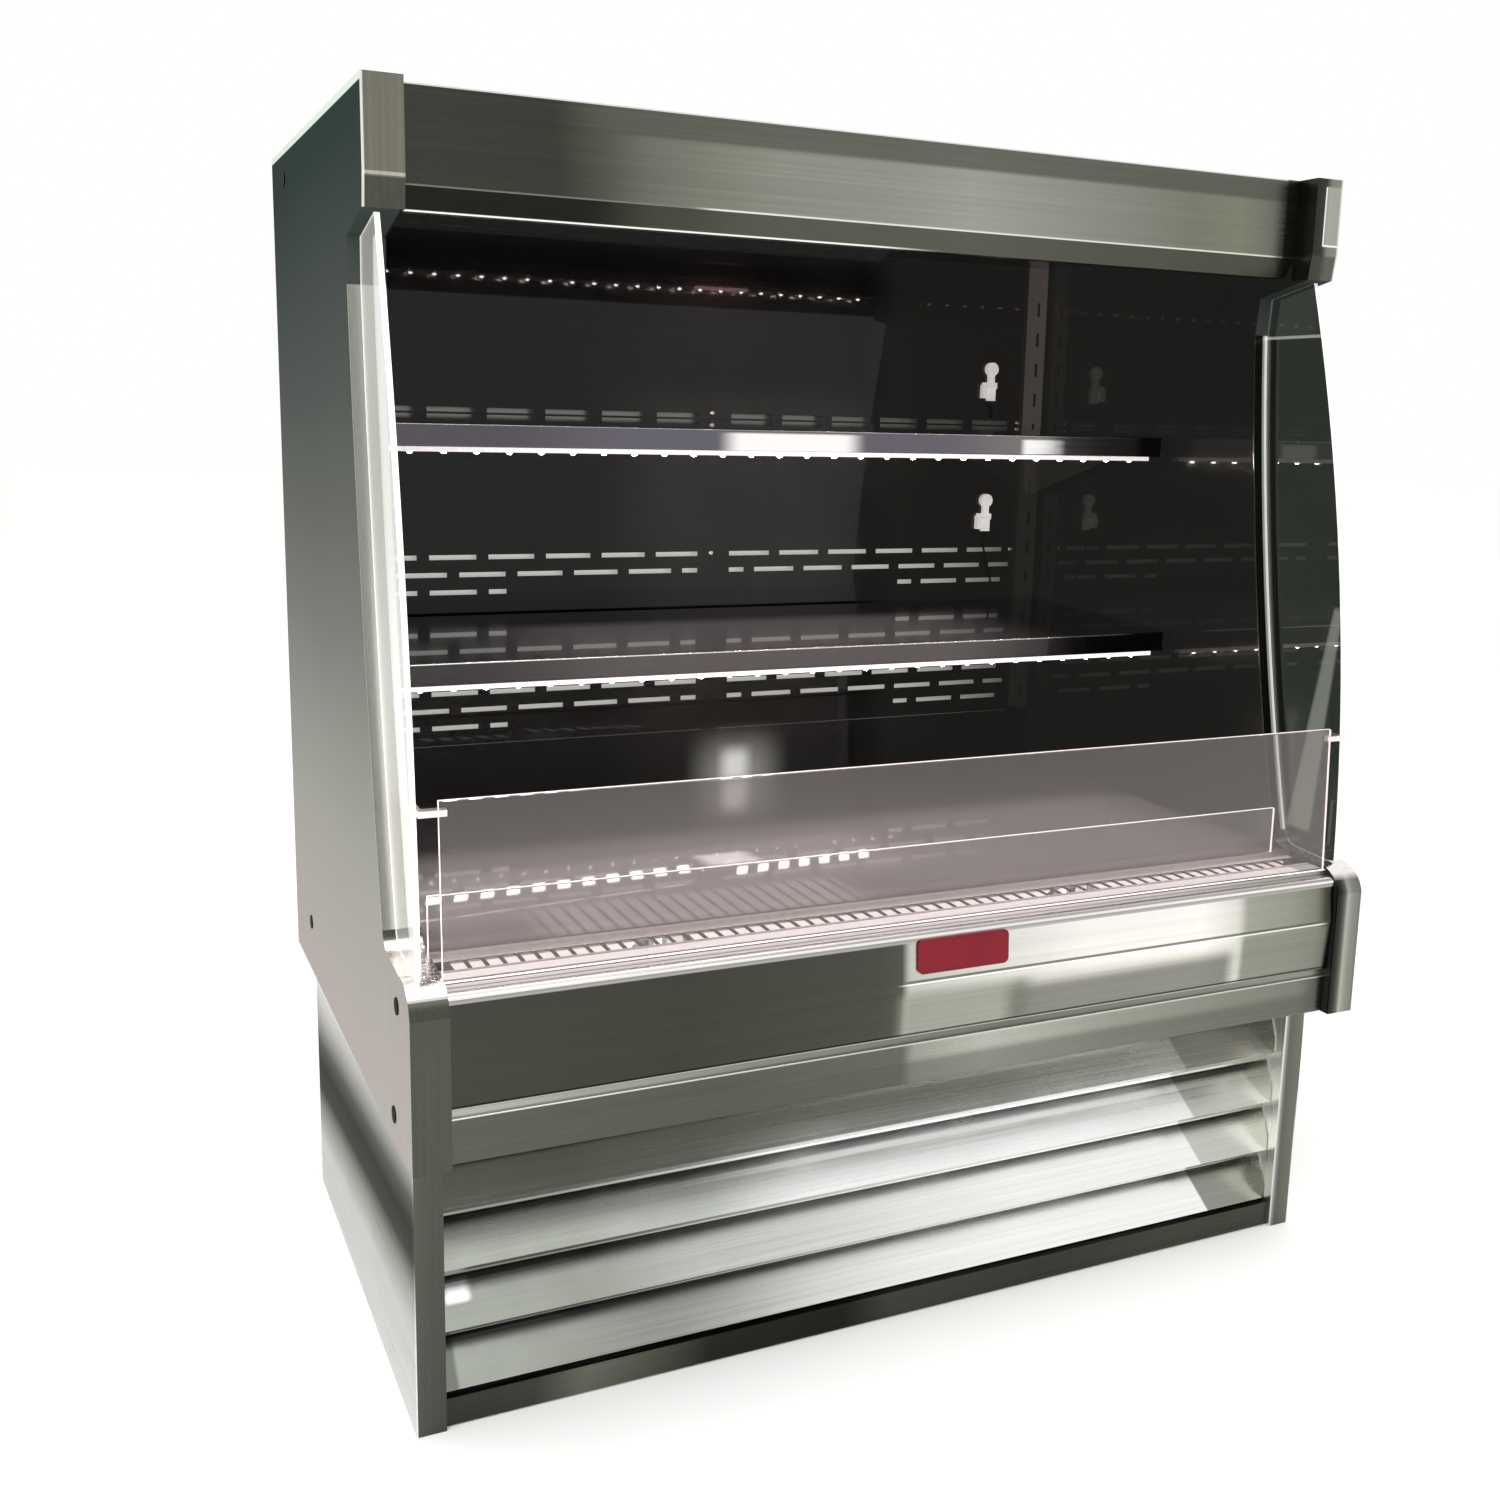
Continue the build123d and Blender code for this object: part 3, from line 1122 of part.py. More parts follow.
def pipe(points, radius, bend, wall=0.0):
    """Tube swept along straight runs joined by arcs."""
    path = FilletPolyline(*points, radius=bend)
    first = Vector(*points[1]) - Vector(*points[0])
    section = ring(radius) - ring(radius - wall) if wall else ring(radius)
    return sweep(Plane(origin=points[0], z_dir=first) * section, path=path)


def refrigerant_lines():
    """Suction, discharge and liquid lines; the liquid line carries the filter drier."""
    ex, ey = line_entry()
    cx = COMPRESSOR_AT[0]
    low, high = compressor_span()
    stub_z = (low + high) / 2 + STUB_AT[1]
    out = EVAP_HALF + END_PLATE + FIT
    upper, lower = (EVAP_TOP - drop for drop in LINE_DROPS)
    y = ey + LINE_APART
    suction = pipe([(out, y, upper), (ex, y, upper), (ex, y, stub_z),
                    (cx + COMPRESSOR_R + STUB_X[1] + FIT, y, stub_z)], TUBE_R + 1, LINE_BEND)
    level = TRAY_TOP + LIQUID_RISE
    end = CONDENSER_X[1] + END_PLATE + FIT
    front = CONDENSER_Y + CONDENSER_DEEP - LIQUID_IN
    back = front + LIQUID_BACK
    y = ey - LINE_APART
    liquid = pipe([(out, y, lower), (ex, y, lower), (ex, y, level), (ex, back, level),
                   (LIQUID_TURN, back, level), (LIQUID_TURN, front, level), (end, front, level)],
                  TUBE_R, LINE_BEND)
    return Compound([suction, liquid + cylinder_x(DRIER_X, back, level, DRIER_R)])


def drain_pipe():
    """Drain from the floor of the well, through a trap, to the condensate pan."""
    x, y = DRAIN_AT
    low = TRAY_TOP + DRAIN_LOW
    step = 2 * DRAIN_BEND + 4
    crest = low + TRAP_RISE
    points = [(x, y, FLOOR_Z + 2), (x, y, low), (x + step, y, low), (x + step, y, crest),
              (x + 2 * step, y, crest), (x + 2 * step, y, TRAY_TOP + PAN_HIGH - DRAIN_DIP)]
    return pipe(points, DRAIN_R, DRAIN_BEND, DRAIN_WALL)


def condensate_pan():
    """Open pan on the tray, under the drain."""
    inner = PAN_HALF - PAN_WALL
    pan = block((-PAN_HALF, PAN_HALF), PAN_Y, (TRAY_TOP, TRAY_TOP + PAN_HIGH))
    return pan - block((-inner, inner), (PAN_Y[0] + PAN_WALL, PAN_Y[1] - PAN_WALL),
                       (TRAY_TOP + PAN_WALL, TRAY_TOP + PAN_HIGH + 1))


def knob_place():
    """Centre of the thermostat knob on the control box's face."""
    return BOX_X[0] + KNOB_AT[0], BOX_Z[1] - KNOB_AT[1]


def rocker_place():
    """Centre of the light switch on the control box's face."""
    return BOX_X[1] - ROCKER_AT[0], BOX_Z[1] - ROCKER_AT[1]


def control_box():
    """Box for the controls, standing on the tray by a folded bracket."""
    box = block(BOX_X, BOX_Y, BOX_Z)
    foot, side = BOX_STAND
    stand = folded([(BOX_Y[1] + foot, TRAY_TOP), (BOX_Y[1], TRAY_TOP), (BOX_Y[1], BOX_Z[1])], LEG_GAUGE)
    box += along_x(stand, BOX_X[0] + side, BOX_X[1] - side)
    x, z = knob_place()
    box += cylinder_y(x, (BOX_Y[0] - KNOB_HIGH + SHAFT_R, BOX_Y[0] + 2), z, SHAFT_R)
    x, z = rocker_place()
    half = ROCKER_WIDE / 2 + FIT
    box -= block((x - half, x + half), (BOX_Y[0] - 1, BOX_Y[0] + ROCKER_R + PIN_DEEP),
                 (z - ROCKER_R - 1, z + ROCKER_R + 1))
    hole = half + PIN_OUT + 0.5
    return box - cylinder_x((x - hole, x + hole), BOX_Y[0] + PIN_DEEP, z, PIN_R + SLIP)


def thermostat_knob():
    """Fluted knob with a pointer, on the thermostat's spindle."""
    x, z = knob_place()
    half = KNOB_HIGH / 2
    knob = Cylinder(KNOB_R, KNOB_HIGH)
    knob += Pos(0, 0, KNOB_RIM / 2 - half) * Cylinder(KNOB_R + KNOB_RIM, KNOB_RIM)
    flute = Pos(KNOB_R + FLUTE_OUT, 0, KNOB_RIM) * Cylinder(FLUTE_R, KNOB_HIGH - KNOB_RIM)
    knob -= [Rot(0, 0, 360 / FLUTES * i) * flute for i in range(FLUTES)]
    wide, high = POINTER
    knob += Pos(0, KNOB_R * 0.55, half) * Box(wide, KNOB_R * 0.8, high)
    knob -= Pos(0, 0, KNOB_RIM - half) * Cylinder(SHAFT_R + SLIP, KNOB_HIGH + KNOB_RIM)
    return Pos(x, BOX_Y[0] - KNOB_OFF - half, z) * Rot(90, 0, 0) * knob


def light_switch():
    """Rocker on a cross pin, with its two faces in a shallow vee."""
    x, z = rocker_place()
    half = ROCKER_WIDE / 2
    size = 2 * ROCKER_WIDE
    rocker = cylinder_x((-half, half), 0, 0, ROCKER_R)
    rocker -= block((-size, size), (ROCKER_BACK, ROCKER_BACK + size), (-size, size))
    for side in (1, -1):
        cut = Pos(0, -size / 2 - ROCKER_FLAT, size / 4 * side) * Box(size, size, size / 2)
        rocker -= Rot(side * ROCKER_TILT, 0, 0) * cut
    rocker += cylinder_x((-half - PIN_OUT, half + PIN_OUT), 0, 0, PIN_R)
    return Pos(x, BOX_Y[0] + PIN_DEEP, z) * Rot(ROCKER_REST, 0, 0) * rocker


def plug_places():
    """Fixings of an end panel, in the side view."""
    return [(DEPTH - PLUG_TOP[0], HEIGHT - PLUG_TOP[1]), (DEPTH - PLUG_REAR[0], BODY_Z + PLUG_REAR[1]),
            (PLUG_CHEEK[0], CHEEK_Z - PLUG_CHEEK[1]), (PLUG_FRONT[0], BODY_Z + PLUG_FRONT[1])]


def end_plugs():
    """Black plug buttons over the fixings on both outer sides."""
    plugs = []
    for y, z in plug_places():
        plug = cylinder_x((HALF, HALF + PLUG_HIGH), y, z, PLUG_R)
        plugs += [plug, mirror(plug, about=Plane.YZ)]
    return Compound(plugs)


def mirrored(part):
    """Left-hand copy of a right-hand part."""
    return mirror(part, about=Plane.YZ)


def nodes():
    """Every piece of the fridge by name."""
    return {
        "base_frame": base_frame(),
        "base_sides": base_sides(),
        "kick_plate": kick_plate(),
        "rear_grille": rear_grille(),
        "machine_tray": machine_tray(),
        "end_panel_left": mirrored(end_panel()),
        "end_panel_right": end_panel(),
        "end_trim_left": mirrored(end_trim()),
        "end_trim_right": end_trim(),
        "post_trims": both(post_trim()),
        "canopy_caps": both(canopy_cap()),
        "end_glass_left": mirrored(end_glass()),
        "end_glass_right": end_glass(),
        "canopy_panel": canopy_panel(),
        "canopy_lamp": canopy_lamp(),
        "top_panel": top_panel(),
        "ceiling_panel": ceiling_panel(),
        "air_comb": air_comb(),
        "back_panel": back_panel(),
        "rear_duct_panel": rear_duct_panel(),
        "lower_duct_panel": lower_duct_panel(),
        "shelf_standards": both(standard()),
        "shelf_brackets": both(bracket(SHELF_UPPER)) + both(bracket(SHELF_LOWER)),
        "lamp_sockets": lamp_socket(SOCKET_LEVELS[0]) + lamp_socket(SOCKET_LEVELS[1]),
        "lamp_leads": Compound([lamp_lead(z, drop) for z, drop in zip(SOCKET_LEVELS, LEAD_DROPS)]),
        "tank": tank(),
        "sill_rail": sill_rail(),
        "front_glass": front_glass(),
        "glass_clips": both(glass_clip()),
        "inner_glass": inner_glass(),
        "deck_support": deck_support(),
        "front_panel": front_panel(),
        "lower_rail": lower_rail(),
        "compressor": compressor(),
        "compressor_mounts": compressor_mounts(),
        "condenser_coil": condenser_coil(),
        "condenser_shroud": condenser_shroud(),
        "condenser_motor": condenser_motor(),
        "evaporator_coil": evaporator_coil(),
        "evaporator_fan_plate": evaporator_fan_plate(),
        "evaporator_motors": evaporator_motors(),
        "refrigerant_lines": refrigerant_lines(),
        "drain_pipe": drain_pipe(),
        "condensate_pan": condensate_pan(),
        "control_box": control_box(),
        "end_plugs": end_plugs(),
        "condenser_fan": condenser_fan(),
        "evaporator_fan_left": evaporator_fan(-EVAP_FAN_X),
        "evaporator_fan_right": evaporator_fan(EVAP_FAN_X),
        "louver_panel": louver_panel(),
        "deck_pan_left": mirrored(deck_pan()),
        "deck_pan_right": deck_pan(),
        "return_grille": return_grille(),
        "shelf_upper": shelf_pan(SHELF_UPPER),
        "shelf_upper_lamp": shelf_lamp(SHELF_UPPER),
        "shelf_lower": shelf_pan(SHELF_LOWER),
        "shelf_lower_lamp": shelf_lamp(SHELF_LOWER),
        "thermostat_knob": thermostat_knob(),
        "light_switch": light_switch(),
    }


def main():
    os.makedirs("parts", exist_ok=True)
    for name, part in nodes().items():
        export_step(Pos(0, -DEPTH / 2, 0) * part, f"parts/{name}.step")


main()
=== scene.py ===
"""Open display fridge: finishes, lamps, small trim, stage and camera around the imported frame."""
import math

import bpy
from bpy.props import FloatProperty, FloatVectorProperty, PointerProperty
from mathutils import Matrix, Vector


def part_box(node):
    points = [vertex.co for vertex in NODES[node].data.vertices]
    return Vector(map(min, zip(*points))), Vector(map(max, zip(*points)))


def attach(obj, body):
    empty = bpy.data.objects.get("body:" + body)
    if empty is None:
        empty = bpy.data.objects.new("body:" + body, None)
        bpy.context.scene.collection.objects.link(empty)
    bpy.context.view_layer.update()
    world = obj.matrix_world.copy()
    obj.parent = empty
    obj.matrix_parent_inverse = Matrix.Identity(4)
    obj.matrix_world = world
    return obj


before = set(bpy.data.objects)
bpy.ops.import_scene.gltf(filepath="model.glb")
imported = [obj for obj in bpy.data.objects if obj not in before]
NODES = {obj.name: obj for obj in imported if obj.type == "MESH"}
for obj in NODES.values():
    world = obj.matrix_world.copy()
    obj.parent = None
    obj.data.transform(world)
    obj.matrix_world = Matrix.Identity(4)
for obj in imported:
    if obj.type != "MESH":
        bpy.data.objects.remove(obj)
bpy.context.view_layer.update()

bl_info = {
    "name": "Open display fridge finish",
    "version": (1, 0, 0),
    "blender": (4, 5, 0),
    "location": "3D View > Sidebar > Display fridge",
    "description": "Finishes, lamps, fixings and stage for an open multideck display fridge",
    "category": "Object",
}

MM = 0.001
X, Y, Z = (1, 0, 0), (0, 1, 0), (0, 0, 1)


def tone(colour):
    """Linear colour of a six-figure sRGB code. The value of a colour property is linear already."""
    if not isinstance(colour, str):
        return tuple(colour)
    parts = [int(colour[i:i + 2], 16) / 255 for i in (0, 2, 4)]
    return tuple(c / 12.92 if c <= 0.04045 else ((c + 0.055) / 1.055) ** 2.4 for c in parts)


def dimmed(colour, share):
    """Linear colour at a share of its strength."""
    return tuple(share * c for c in tone(colour))


def hue(label, code):
    """Colour property with a default given as an sRGB code."""
    return FloatVectorProperty(name=label, description=f"Colour of the {label.lower()}", subtype="COLOR",
                               size=3, min=0.0, max=1.0, default=tone(code))


def length(label, millimetres):
    """Length property with a default in millimetres."""
    return FloatProperty(name=label, description=f"{label}, real size", subtype="DISTANCE", unit="LENGTH",
                         default=millimetres * MM)


class FridgeColours(bpy.types.PropertyGroup):
    """Colours that a user would change."""

    enamel: hue("Badge enamel", "74101f")
    lamp: hue("Lamp light", "fff0f2")
    floor: hue("Floor", "fbfbfa")


class FridgeSizes(bpy.types.PropertyGroup):
    """Sizes of the small trim."""

    bead_pitch: length("Lamp bead pitch", 41.9)
    bead_radius: length("Lamp bead radius", 3.4)
    screw_radius: length("Screw head radius", 4.2)
    badge_wide: length("Badge width", 126)
    badge_high: length("Badge height", 42)
    badge_deep: length("Badge thickness", 3)
    badge_corner: length("Badge corner radius", 7)
    connector_wide: length("Connector width", 104)
    connector_deep: length("Connector depth", 18)
    connector_high: length("Connector height", 14)
    bead_glow: FloatProperty(name="Bead glow", description="Emission strength of a lamp bead", default=150.0)


# --- node trees --------------------------------------------------

GRAIN = {"X": (1.5, 260, 260), "Y": (260, 1.5, 260), "Z": (260, 260, 1.5)}    # brushing along an axis
MIRROR_IOR = 1.27     # clear layer over the dark lining: reflects lamps sharply, the room hardly
MIRROR_BLUR = 0.03
GLASS_IOR = 1.45
EDGE_ON_TINT = (0.12, 0.12, 0.12, 1)


class Finish:
    """A material's node tree, built step by step around one shader."""

    def __init__(self, name, roughness=0.3, metallic=0.0):
        self.material = bpy.data.materials.new(name)
        self.material.use_nodes = True
        self.tree = self.material.node_tree
        self.tree.nodes.clear()
        self.out = self.add("ShaderNodeOutputMaterial")
        self.shader = self.add("ShaderNodeBsdfPrincipled")
        self.join(self.shader.outputs["BSDF"], self.out.inputs["Surface"])
        self.place = self.add("ShaderNodeTexCoord").outputs["Object"]
        self.give("Roughness", roughness)
        self.give("Metallic", metallic)

    def add(self, kind, **settings):
        """Adds a node."""
        node = self.tree.nodes.new(kind)
        for key, value in settings.items():
            setattr(node, key, value)
        return node

    def join(self, source, target):
        """Links two sockets."""
        self.tree.links.new(source, target)

    def feed(self, target, value):
        """Links a socket, or sets a plain value."""
        if isinstance(value, bpy.types.NodeSocket):
            self.join(value, target)
        else:
            target.default_value = value

    def give(self, name, value):
        """Feeds an input of the shader."""
        self.feed(self.shader.inputs[name], value)

    def light_up(self, colour, strength=1.0):
        """Makes the surface give off light. colour is a socket, an sRGB code or a linear colour."""
        if not isinstance(colour, bpy.types.NodeSocket):
            colour = (*tone(colour), 1)
        self.give("Emission Color", colour)
        self.give("Emission Strength", strength)

    def noise(self, size, detail=3.0, rough=0.5, scale=(1, 1, 1)):
        """Noise of size per metre, drawn out where an axis has a small scale."""
        mapping = self.add("ShaderNodeMapping")
        self.join(self.place, mapping.inputs["Vector"])
        mapping.inputs["Scale"].default_value = scale
        node = self.add("ShaderNodeTexNoise")
        self.join(mapping.outputs["Vector"], node.inputs["Vector"])
        node.inputs["Scale"].default_value = size
        node.inputs["Detail"].default_value = detail
        node.inputs["Roughness"].default_value = rough
        return node.outputs["Fac"]

    def streaks(self, grain, detail=4.0, rough=0.5):
        """Fine brushing along an axis."""
        return self.noise(1.0, detail, rough, GRAIN[grain])

    def calc(self, operation, *values):
        """One step of arithmetic."""
        node = self.add("ShaderNodeMath", operation=operation)
        for socket, value in zip(node.inputs, values):
            self.feed(socket, value)
        return node.outputs["Value"]

    def spread(self, value, low, high, to_low=0.0, to_high=1.0, smooth=False):
        """Carries low..high over to to_low..to_high."""
        node = self.add("ShaderNodeMapRange", interpolation_type="SMOOTHSTEP" if smooth else "LINEAR")
        for name, entry in (("Value", value), ("From Min", low), ("From Max", high), ("To Min", to_low),
                            ("To Max", to_high)):
            self.feed(node.inputs[name], entry)
        return node.outputs["Result"]

    def drift(self, where, stops):
        """Tone that changes along a distance. stops are (metres, sRGB code)."""
        low, high = stops[0][0], stops[-1][0]
        node = self.add("ShaderNodeValToRGB")
        elements = node.color_ramp.elements
        while len(elements) < len(stops):
            elements.new(0.5)
        for element, (at, code) in zip(elements, stops):
            element.position = (at - low) / (high - low)
            element.color = (*tone(code), 1)
        self.join(self.spread(where, low, high), node.inputs["Fac"])
        return node.outputs["Color"]

    def blend(self, factor, a, b, kind="MIX"):
        """Mixes two colours, each a socket or a linear colour."""
        node = self.add("ShaderNodeMix", data_type="RGBA", blend_type=kind)
        self.feed(node.inputs["Factor"], factor)
        for socket, value in ((node.inputs[6], a), (node.inputs[7], b)):
            if not isinstance(value, bpy.types.NodeSocket):
                value = (*value[:3], 1)
            self.feed(socket, value)
        return node.outputs[2]

    def shaded(self, colour, shade):
        """A colour made lighter and darker by a shade round 1."""
        grey = self.add("ShaderNodeCombineColor")
        for channel in ("Red", "Green", "Blue"):
            self.join(shade, grey.inputs[channel])
        return self.blend(1.0, colour, grey.outputs["Color"], "MULTIPLY")

    def dot(self, vector, direction):
        """Length of a vector along a direction."""
        node = self.add("ShaderNodeVectorMath", operation="DOT_PRODUCT")
        self.join(vector, node.inputs[0])
        node.inputs[1].default_value = direction
        return node.outputs["Value"]

    def along(self, direction):
        """Place along a direction, from the origin."""
        return self.dot(self.place, direction)

    def normal_along(self, direction):
        """1 on faces that look along a direction, 0 side on, -1 on those that look the other way."""
        return self.dot(self.add("ShaderNodeNewGeometry").outputs["True Normal"], direction)

    def looking_up(self):
        """1 on faces that look up."""
        return self.spread(self.normal_along(Z), 0.6, 0.8)

    def within(self, *limits):
        """Product of masks: each limit is (direction, low, high, soft edge)."""
        mask = 1.0
        for direction, low, high, soft in limits:
            half = (high - low) / 2
            off = self.calc("ABSOLUTE", self.calc("SUBTRACT", self.along(direction), low + half))
            mask = self.calc("MULTIPLY", mask, self.spread(off, half, half + soft, 1.0, 0.0, smooth=True))
        return mask

    def paint(self, colour, layers):
        """Lays tones over a colour, one after the other."""
        for limits, code, strength in layers:
            colour = self.blend(self.calc("MULTIPLY", self.within(*limits), strength), colour, tone(code))
        return colour

    def spots(self, direction, start, pitch, width):
        """1 on evenly spaced spots along a direction; width is their share of the pitch."""
        turns = self.calc("DIVIDE", self.calc("SUBTRACT", self.along(direction), start - pitch / 2), pitch)
        off = self.calc("ABSOLUTE", self.calc("SUBTRACT", self.calc("FRACT", turns), 0.5))
        return self.spread(off, width / 2, width, 1.0, 0.0, smooth=True)

    def bump(self, height, strength, distance):
        """Raises the surface by a height field."""
        node = self.add("ShaderNodeBump")
        node.inputs["Strength"].default_value = strength
        node.inputs["Distance"].default_value = distance
        self.join(height, node.inputs["Height"])
        self.give("Normal", node.outputs["Normal"])


def layer(code, strength, *limits):
    """A tone laid over a finish inside all of the limits, each (direction, low, high, soft edge)."""
    return limits, code, strength


def spot_row(code, strength, direction, start, pitch, width, *limits):
    """Evenly spaced spots of light along a direction inside the limits."""
    return limits, (direction, start, pitch, width), dimmed(code, strength)


def dull_edge_on(f):
    """Keeps a part-metal sheet from turning white where it is seen almost edge on."""
    f.give("Specular IOR Level", 0.0)
    f.give("Specular Tint", EDGE_ON_TINT)


def mirror_layer(f, weight, ior=MIRROR_IOR):
    """Sharp faint reflection over a darker blurred one."""
    f.give("Coat Weight", weight)
    f.give("Coat Roughness", MIRROR_BLUR)
    f.give("Coat IOR", ior)


def wiped(f, wipe, dark, light):
    """Tone with the marks of wiping."""
    return f.blend(f.spread(wipe, 0.35, 0.7), dark, light)


# --- kinds of finish ---------------------------------------------

def steel(name, stops, grain="X", roughness=0.28, layers=(), mottle=0.10, warp=0.03, top=None, direction=X):
    """Brushed stainless whose tone drifts along a direction, a painted reflection of the room that such sheet
    picks up.

    stops are (metres along the direction, sRGB code), layers are painted over them, mottle is how strongly
    the brushing shows, warp how far the tones waver in metres, and top the tone of faces that look up, a
    painted highlight."""
    f = Finish(name, roughness, 1.0)
    cloud = f.noise(2.6, 2.0)
    where = f.calc("MULTIPLY_ADD", cloud, warp * 2, f.calc("SUBTRACT", f.along(direction), warp))
    colour = f.drift(where, stops)
    if top:
        colour = f.blend(f.looking_up(), colour, tone(top))
    streak = f.streaks(grain, rough=0.65)
    shade = f.spread(streak, 0.3, 0.7, 1 - mottle, 1 + mottle * 0.6)
    f.give("Base Color", f.shaded(f.paint(colour, layers), shade))
    smudge = f.noise(9.0, 4.0)
    f.give("Roughness", f.calc("ADD", f.spread(streak, 0.3, 0.7, roughness - 0.05, roughness + 0.06),
                               f.spread(smudge, 0.4, 0.75, -0.03, 0.05)))
    f.bump(streak, 0.25, 0.12 * MM)
    return f


def lining(name, code, roughness=0.22, grain="X", layers=(), lift=1.5, glow=(), spots=(), mirror=MIRROR_IOR):
    """Polished dark lining with faint brushing and wiping marks.

    lift is how much lighter the wiping marks are, glow holds layers of the light that lamps throw on it, and
    spots rows of their mirrored beads."""
    f = Finish(name, roughness, 1.0)
    streak = f.streaks(grain, 3.0)
    wipe = f.noise(4.2, 4.0, 0.6)
    base = tone(code)
    colour = wiped(f, wipe, base, tuple(min(1.0, c * lift + 0.003) for c in base))
    f.give("Base Color", f.paint(colour, layers))
    f.give("Roughness", f.calc("ADD", f.spread(streak, 0.3, 0.7, roughness - 0.03, roughness + 0.04),
                               f.spread(wipe, 0.4, 0.7, 0.0, 0.06)))
    mirror_layer(f, 1.0, mirror)
    if glow:
        light = f.paint((0, 0, 0), glow)
        for limits, row, colour in spots:
            light = f.blend(f.calc("MULTIPLY", f.within(*limits), f.spots(*row)), light, colour)
        f.light_up(light)
    f.bump(streak, 0.12, 0.06 * MM)
    return f


def lit_from_above(f, code, strength, metallic=0.25, shade=()):
    """Makes the faces that look up scatter the light of the lamps over them, but for a shaded band."""
    up = f.looking_up()
    if shade:
        up = f.calc("MULTIPLY", up, f.calc("SUBTRACT", 1.0, f.within(*shade)))
    f.give("Metallic", f.spread(up, 0, 1, 1.0, metallic))
    f.light_up(code, f.calc("MULTIPLY", up, strength))
    return f


def pane(name, tint, edge_code, across, veil, haze, shine, marks=()):
    """Thin toughened glass with polished edges that carry a painted highlight.

    across is the direction through the pane, haze is how much its faces glow from the lamps as painted light,
    shine how much its edges glow as a painted highlight, and marks are layers of painted light that it shows."""
    f = Finish(name, 0.01)
    edge = f.calc("LESS_THAN", f.calc("ABSOLUTE", f.normal_along(across)), 0.6)
    smear = f.noise(4.0, 5.0)
    face = f.blend(f.spread(smear, 0.3, 0.8, 0.0, 0.3), tone(tint), dimmed(tint, 0.85))
    # bright colour on the edges: painted highlight
    f.give("Base Color", f.blend(edge, face, tone(edge_code)))
    f.give("Transmission Weight", f.calc("SUBTRACT", 1.0, edge))
    f.give("IOR", GLASS_IOR)
    # painted glow over the faces and painted highlight on the edges
    f.light_up(f.blend(edge, f.paint(dimmed(veil, haze), marks), dimmed(edge_code, shine)))
    clear = f.add("ShaderNodeBsdfTransparent")
    clear.inputs["Color"].default_value = (*tone(tint), 1)
    mix = f.add("ShaderNodeMixShader")
    f.join(f.add("ShaderNodeLightPath").outputs["Is Shadow Ray"], mix.inputs["Fac"])
    f.join(f.shader.outputs["BSDF"], mix.inputs[1])
    f.join(clear.outputs["BSDF"], mix.inputs[2])
    f.join(mix.outputs["Shader"], f.out.inputs["Surface"])
    return f


def plain(name, colour, roughness=0.5, metallic=0.0, speckle=0.12, size=300.0, bump=0.15):
    """Moulded, rubber or painted surface with a fine texture."""
    f = Finish(name, roughness, metallic)
    grain = f.noise(size)
    blotch = f.noise(7.0)
    lighter = tuple(min(1.0, c) for c in dimmed(colour, 1 + speckle))
    f.give("Base Color", f.blend(f.spread(blotch, 0.3, 0.7), dimmed(colour, 1 - speckle), lighter))
    f.give("Roughness", f.spread(grain, 0.2, 0.8, roughness - 0.06, roughness + 0.06))
    f.bump(grain, bump, 0.15 * MM)
    return f


def glowing(name, colour, strength, body_code="f2eeee"):
    """Plastic that is lit from within, or that stands close to a lamp and is given a painted glow."""
    f = Finish(name, 0.25)
    cell = f.noise(220.0, 2.0)
    f.give("Base Color", f.blend(f.spread(cell, 0.3, 0.7), tone(body_code), tone(colour)))
    f.light_up(colour, strength)
    return f


# --- modelling helpers -------------------------------------------

SMOOTH_BELOW = math.radians(35)    # edges that turn more than this stay sharp


def clear_selection():
    """Leaves edit mode and selects nothing."""
    if bpy.context.object and bpy.context.object.mode != "OBJECT":
        bpy.ops.object.mode_set(mode="OBJECT")
    bpy.ops.object.select_all(action="DESELECT")


def pick(piece):
    """Selects one piece and nothing else."""
    clear_selection()
    piece.select_set(True)
    bpy.context.view_layer.objects.active = piece


def settle(piece, name, finish, body):
    """Names a finished piece, puts its place in its mesh, gives it its finish and its body."""
    pick(piece)
    bpy.ops.object.transform_apply(location=True, rotation=True, scale=True)
    bpy.ops.object.shade_smooth_by_angle(angle=SMOOTH_BELOW)
    piece.name = piece.data.name = name
    piece.data.materials.clear()
    piece.data.materials.append(finish.material)
    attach(piece, body)
    clear_selection()


def block(place, size):
    """Box of a size round a place, in edit mode with all of it selected."""
    clear_selection()
    bpy.ops.mesh.primitive_cube_add(size=1, location=place)
    piece = bpy.context.object
    piece.scale = size
    bpy.ops.object.transform_apply(location=False, rotation=False, scale=True)
    bpy.ops.object.mode_set(mode="EDIT")
    bpy.ops.mesh.select_all(action="SELECT")
    return piece


def pick_faces(piece, test):
    """In edit mode, selects the faces whose normal passes the test."""
    bpy.ops.object.mode_set(mode="EDIT")
    bpy.ops.mesh.select_mode(type="FACE")
    bpy.ops.mesh.select_all(action="DESELECT")
    bpy.ops.object.mode_set(mode="OBJECT")
    for face in piece.data.polygons:
        face.select = bool(test(face.normal))
    bpy.ops.object.mode_set(mode="EDIT")


def pick_edges(piece, test):
    """In edit mode, selects the edges whose two ends pass the test."""
    bpy.ops.object.mode_set(mode="EDIT")
    bpy.ops.mesh.select_mode(type="EDGE")
    bpy.ops.mesh.select_all(action="DESELECT")
    bpy.ops.object.mode_set(mode="OBJECT")
    for edge in piece.data.edges:
        edge.select = bool(test(*(piece.data.vertices[i].co for i in edge.vertices)))
    bpy.ops.object.mode_set(mode="EDIT")


def groove(rim, wide, deep):
    """Presses the picked faces in by deep, inside a rim and a slanting wall."""
    bpy.ops.mesh.inset(thickness=rim, depth=0)
    bpy.ops.mesh.inset(thickness=wide, depth=-deep)


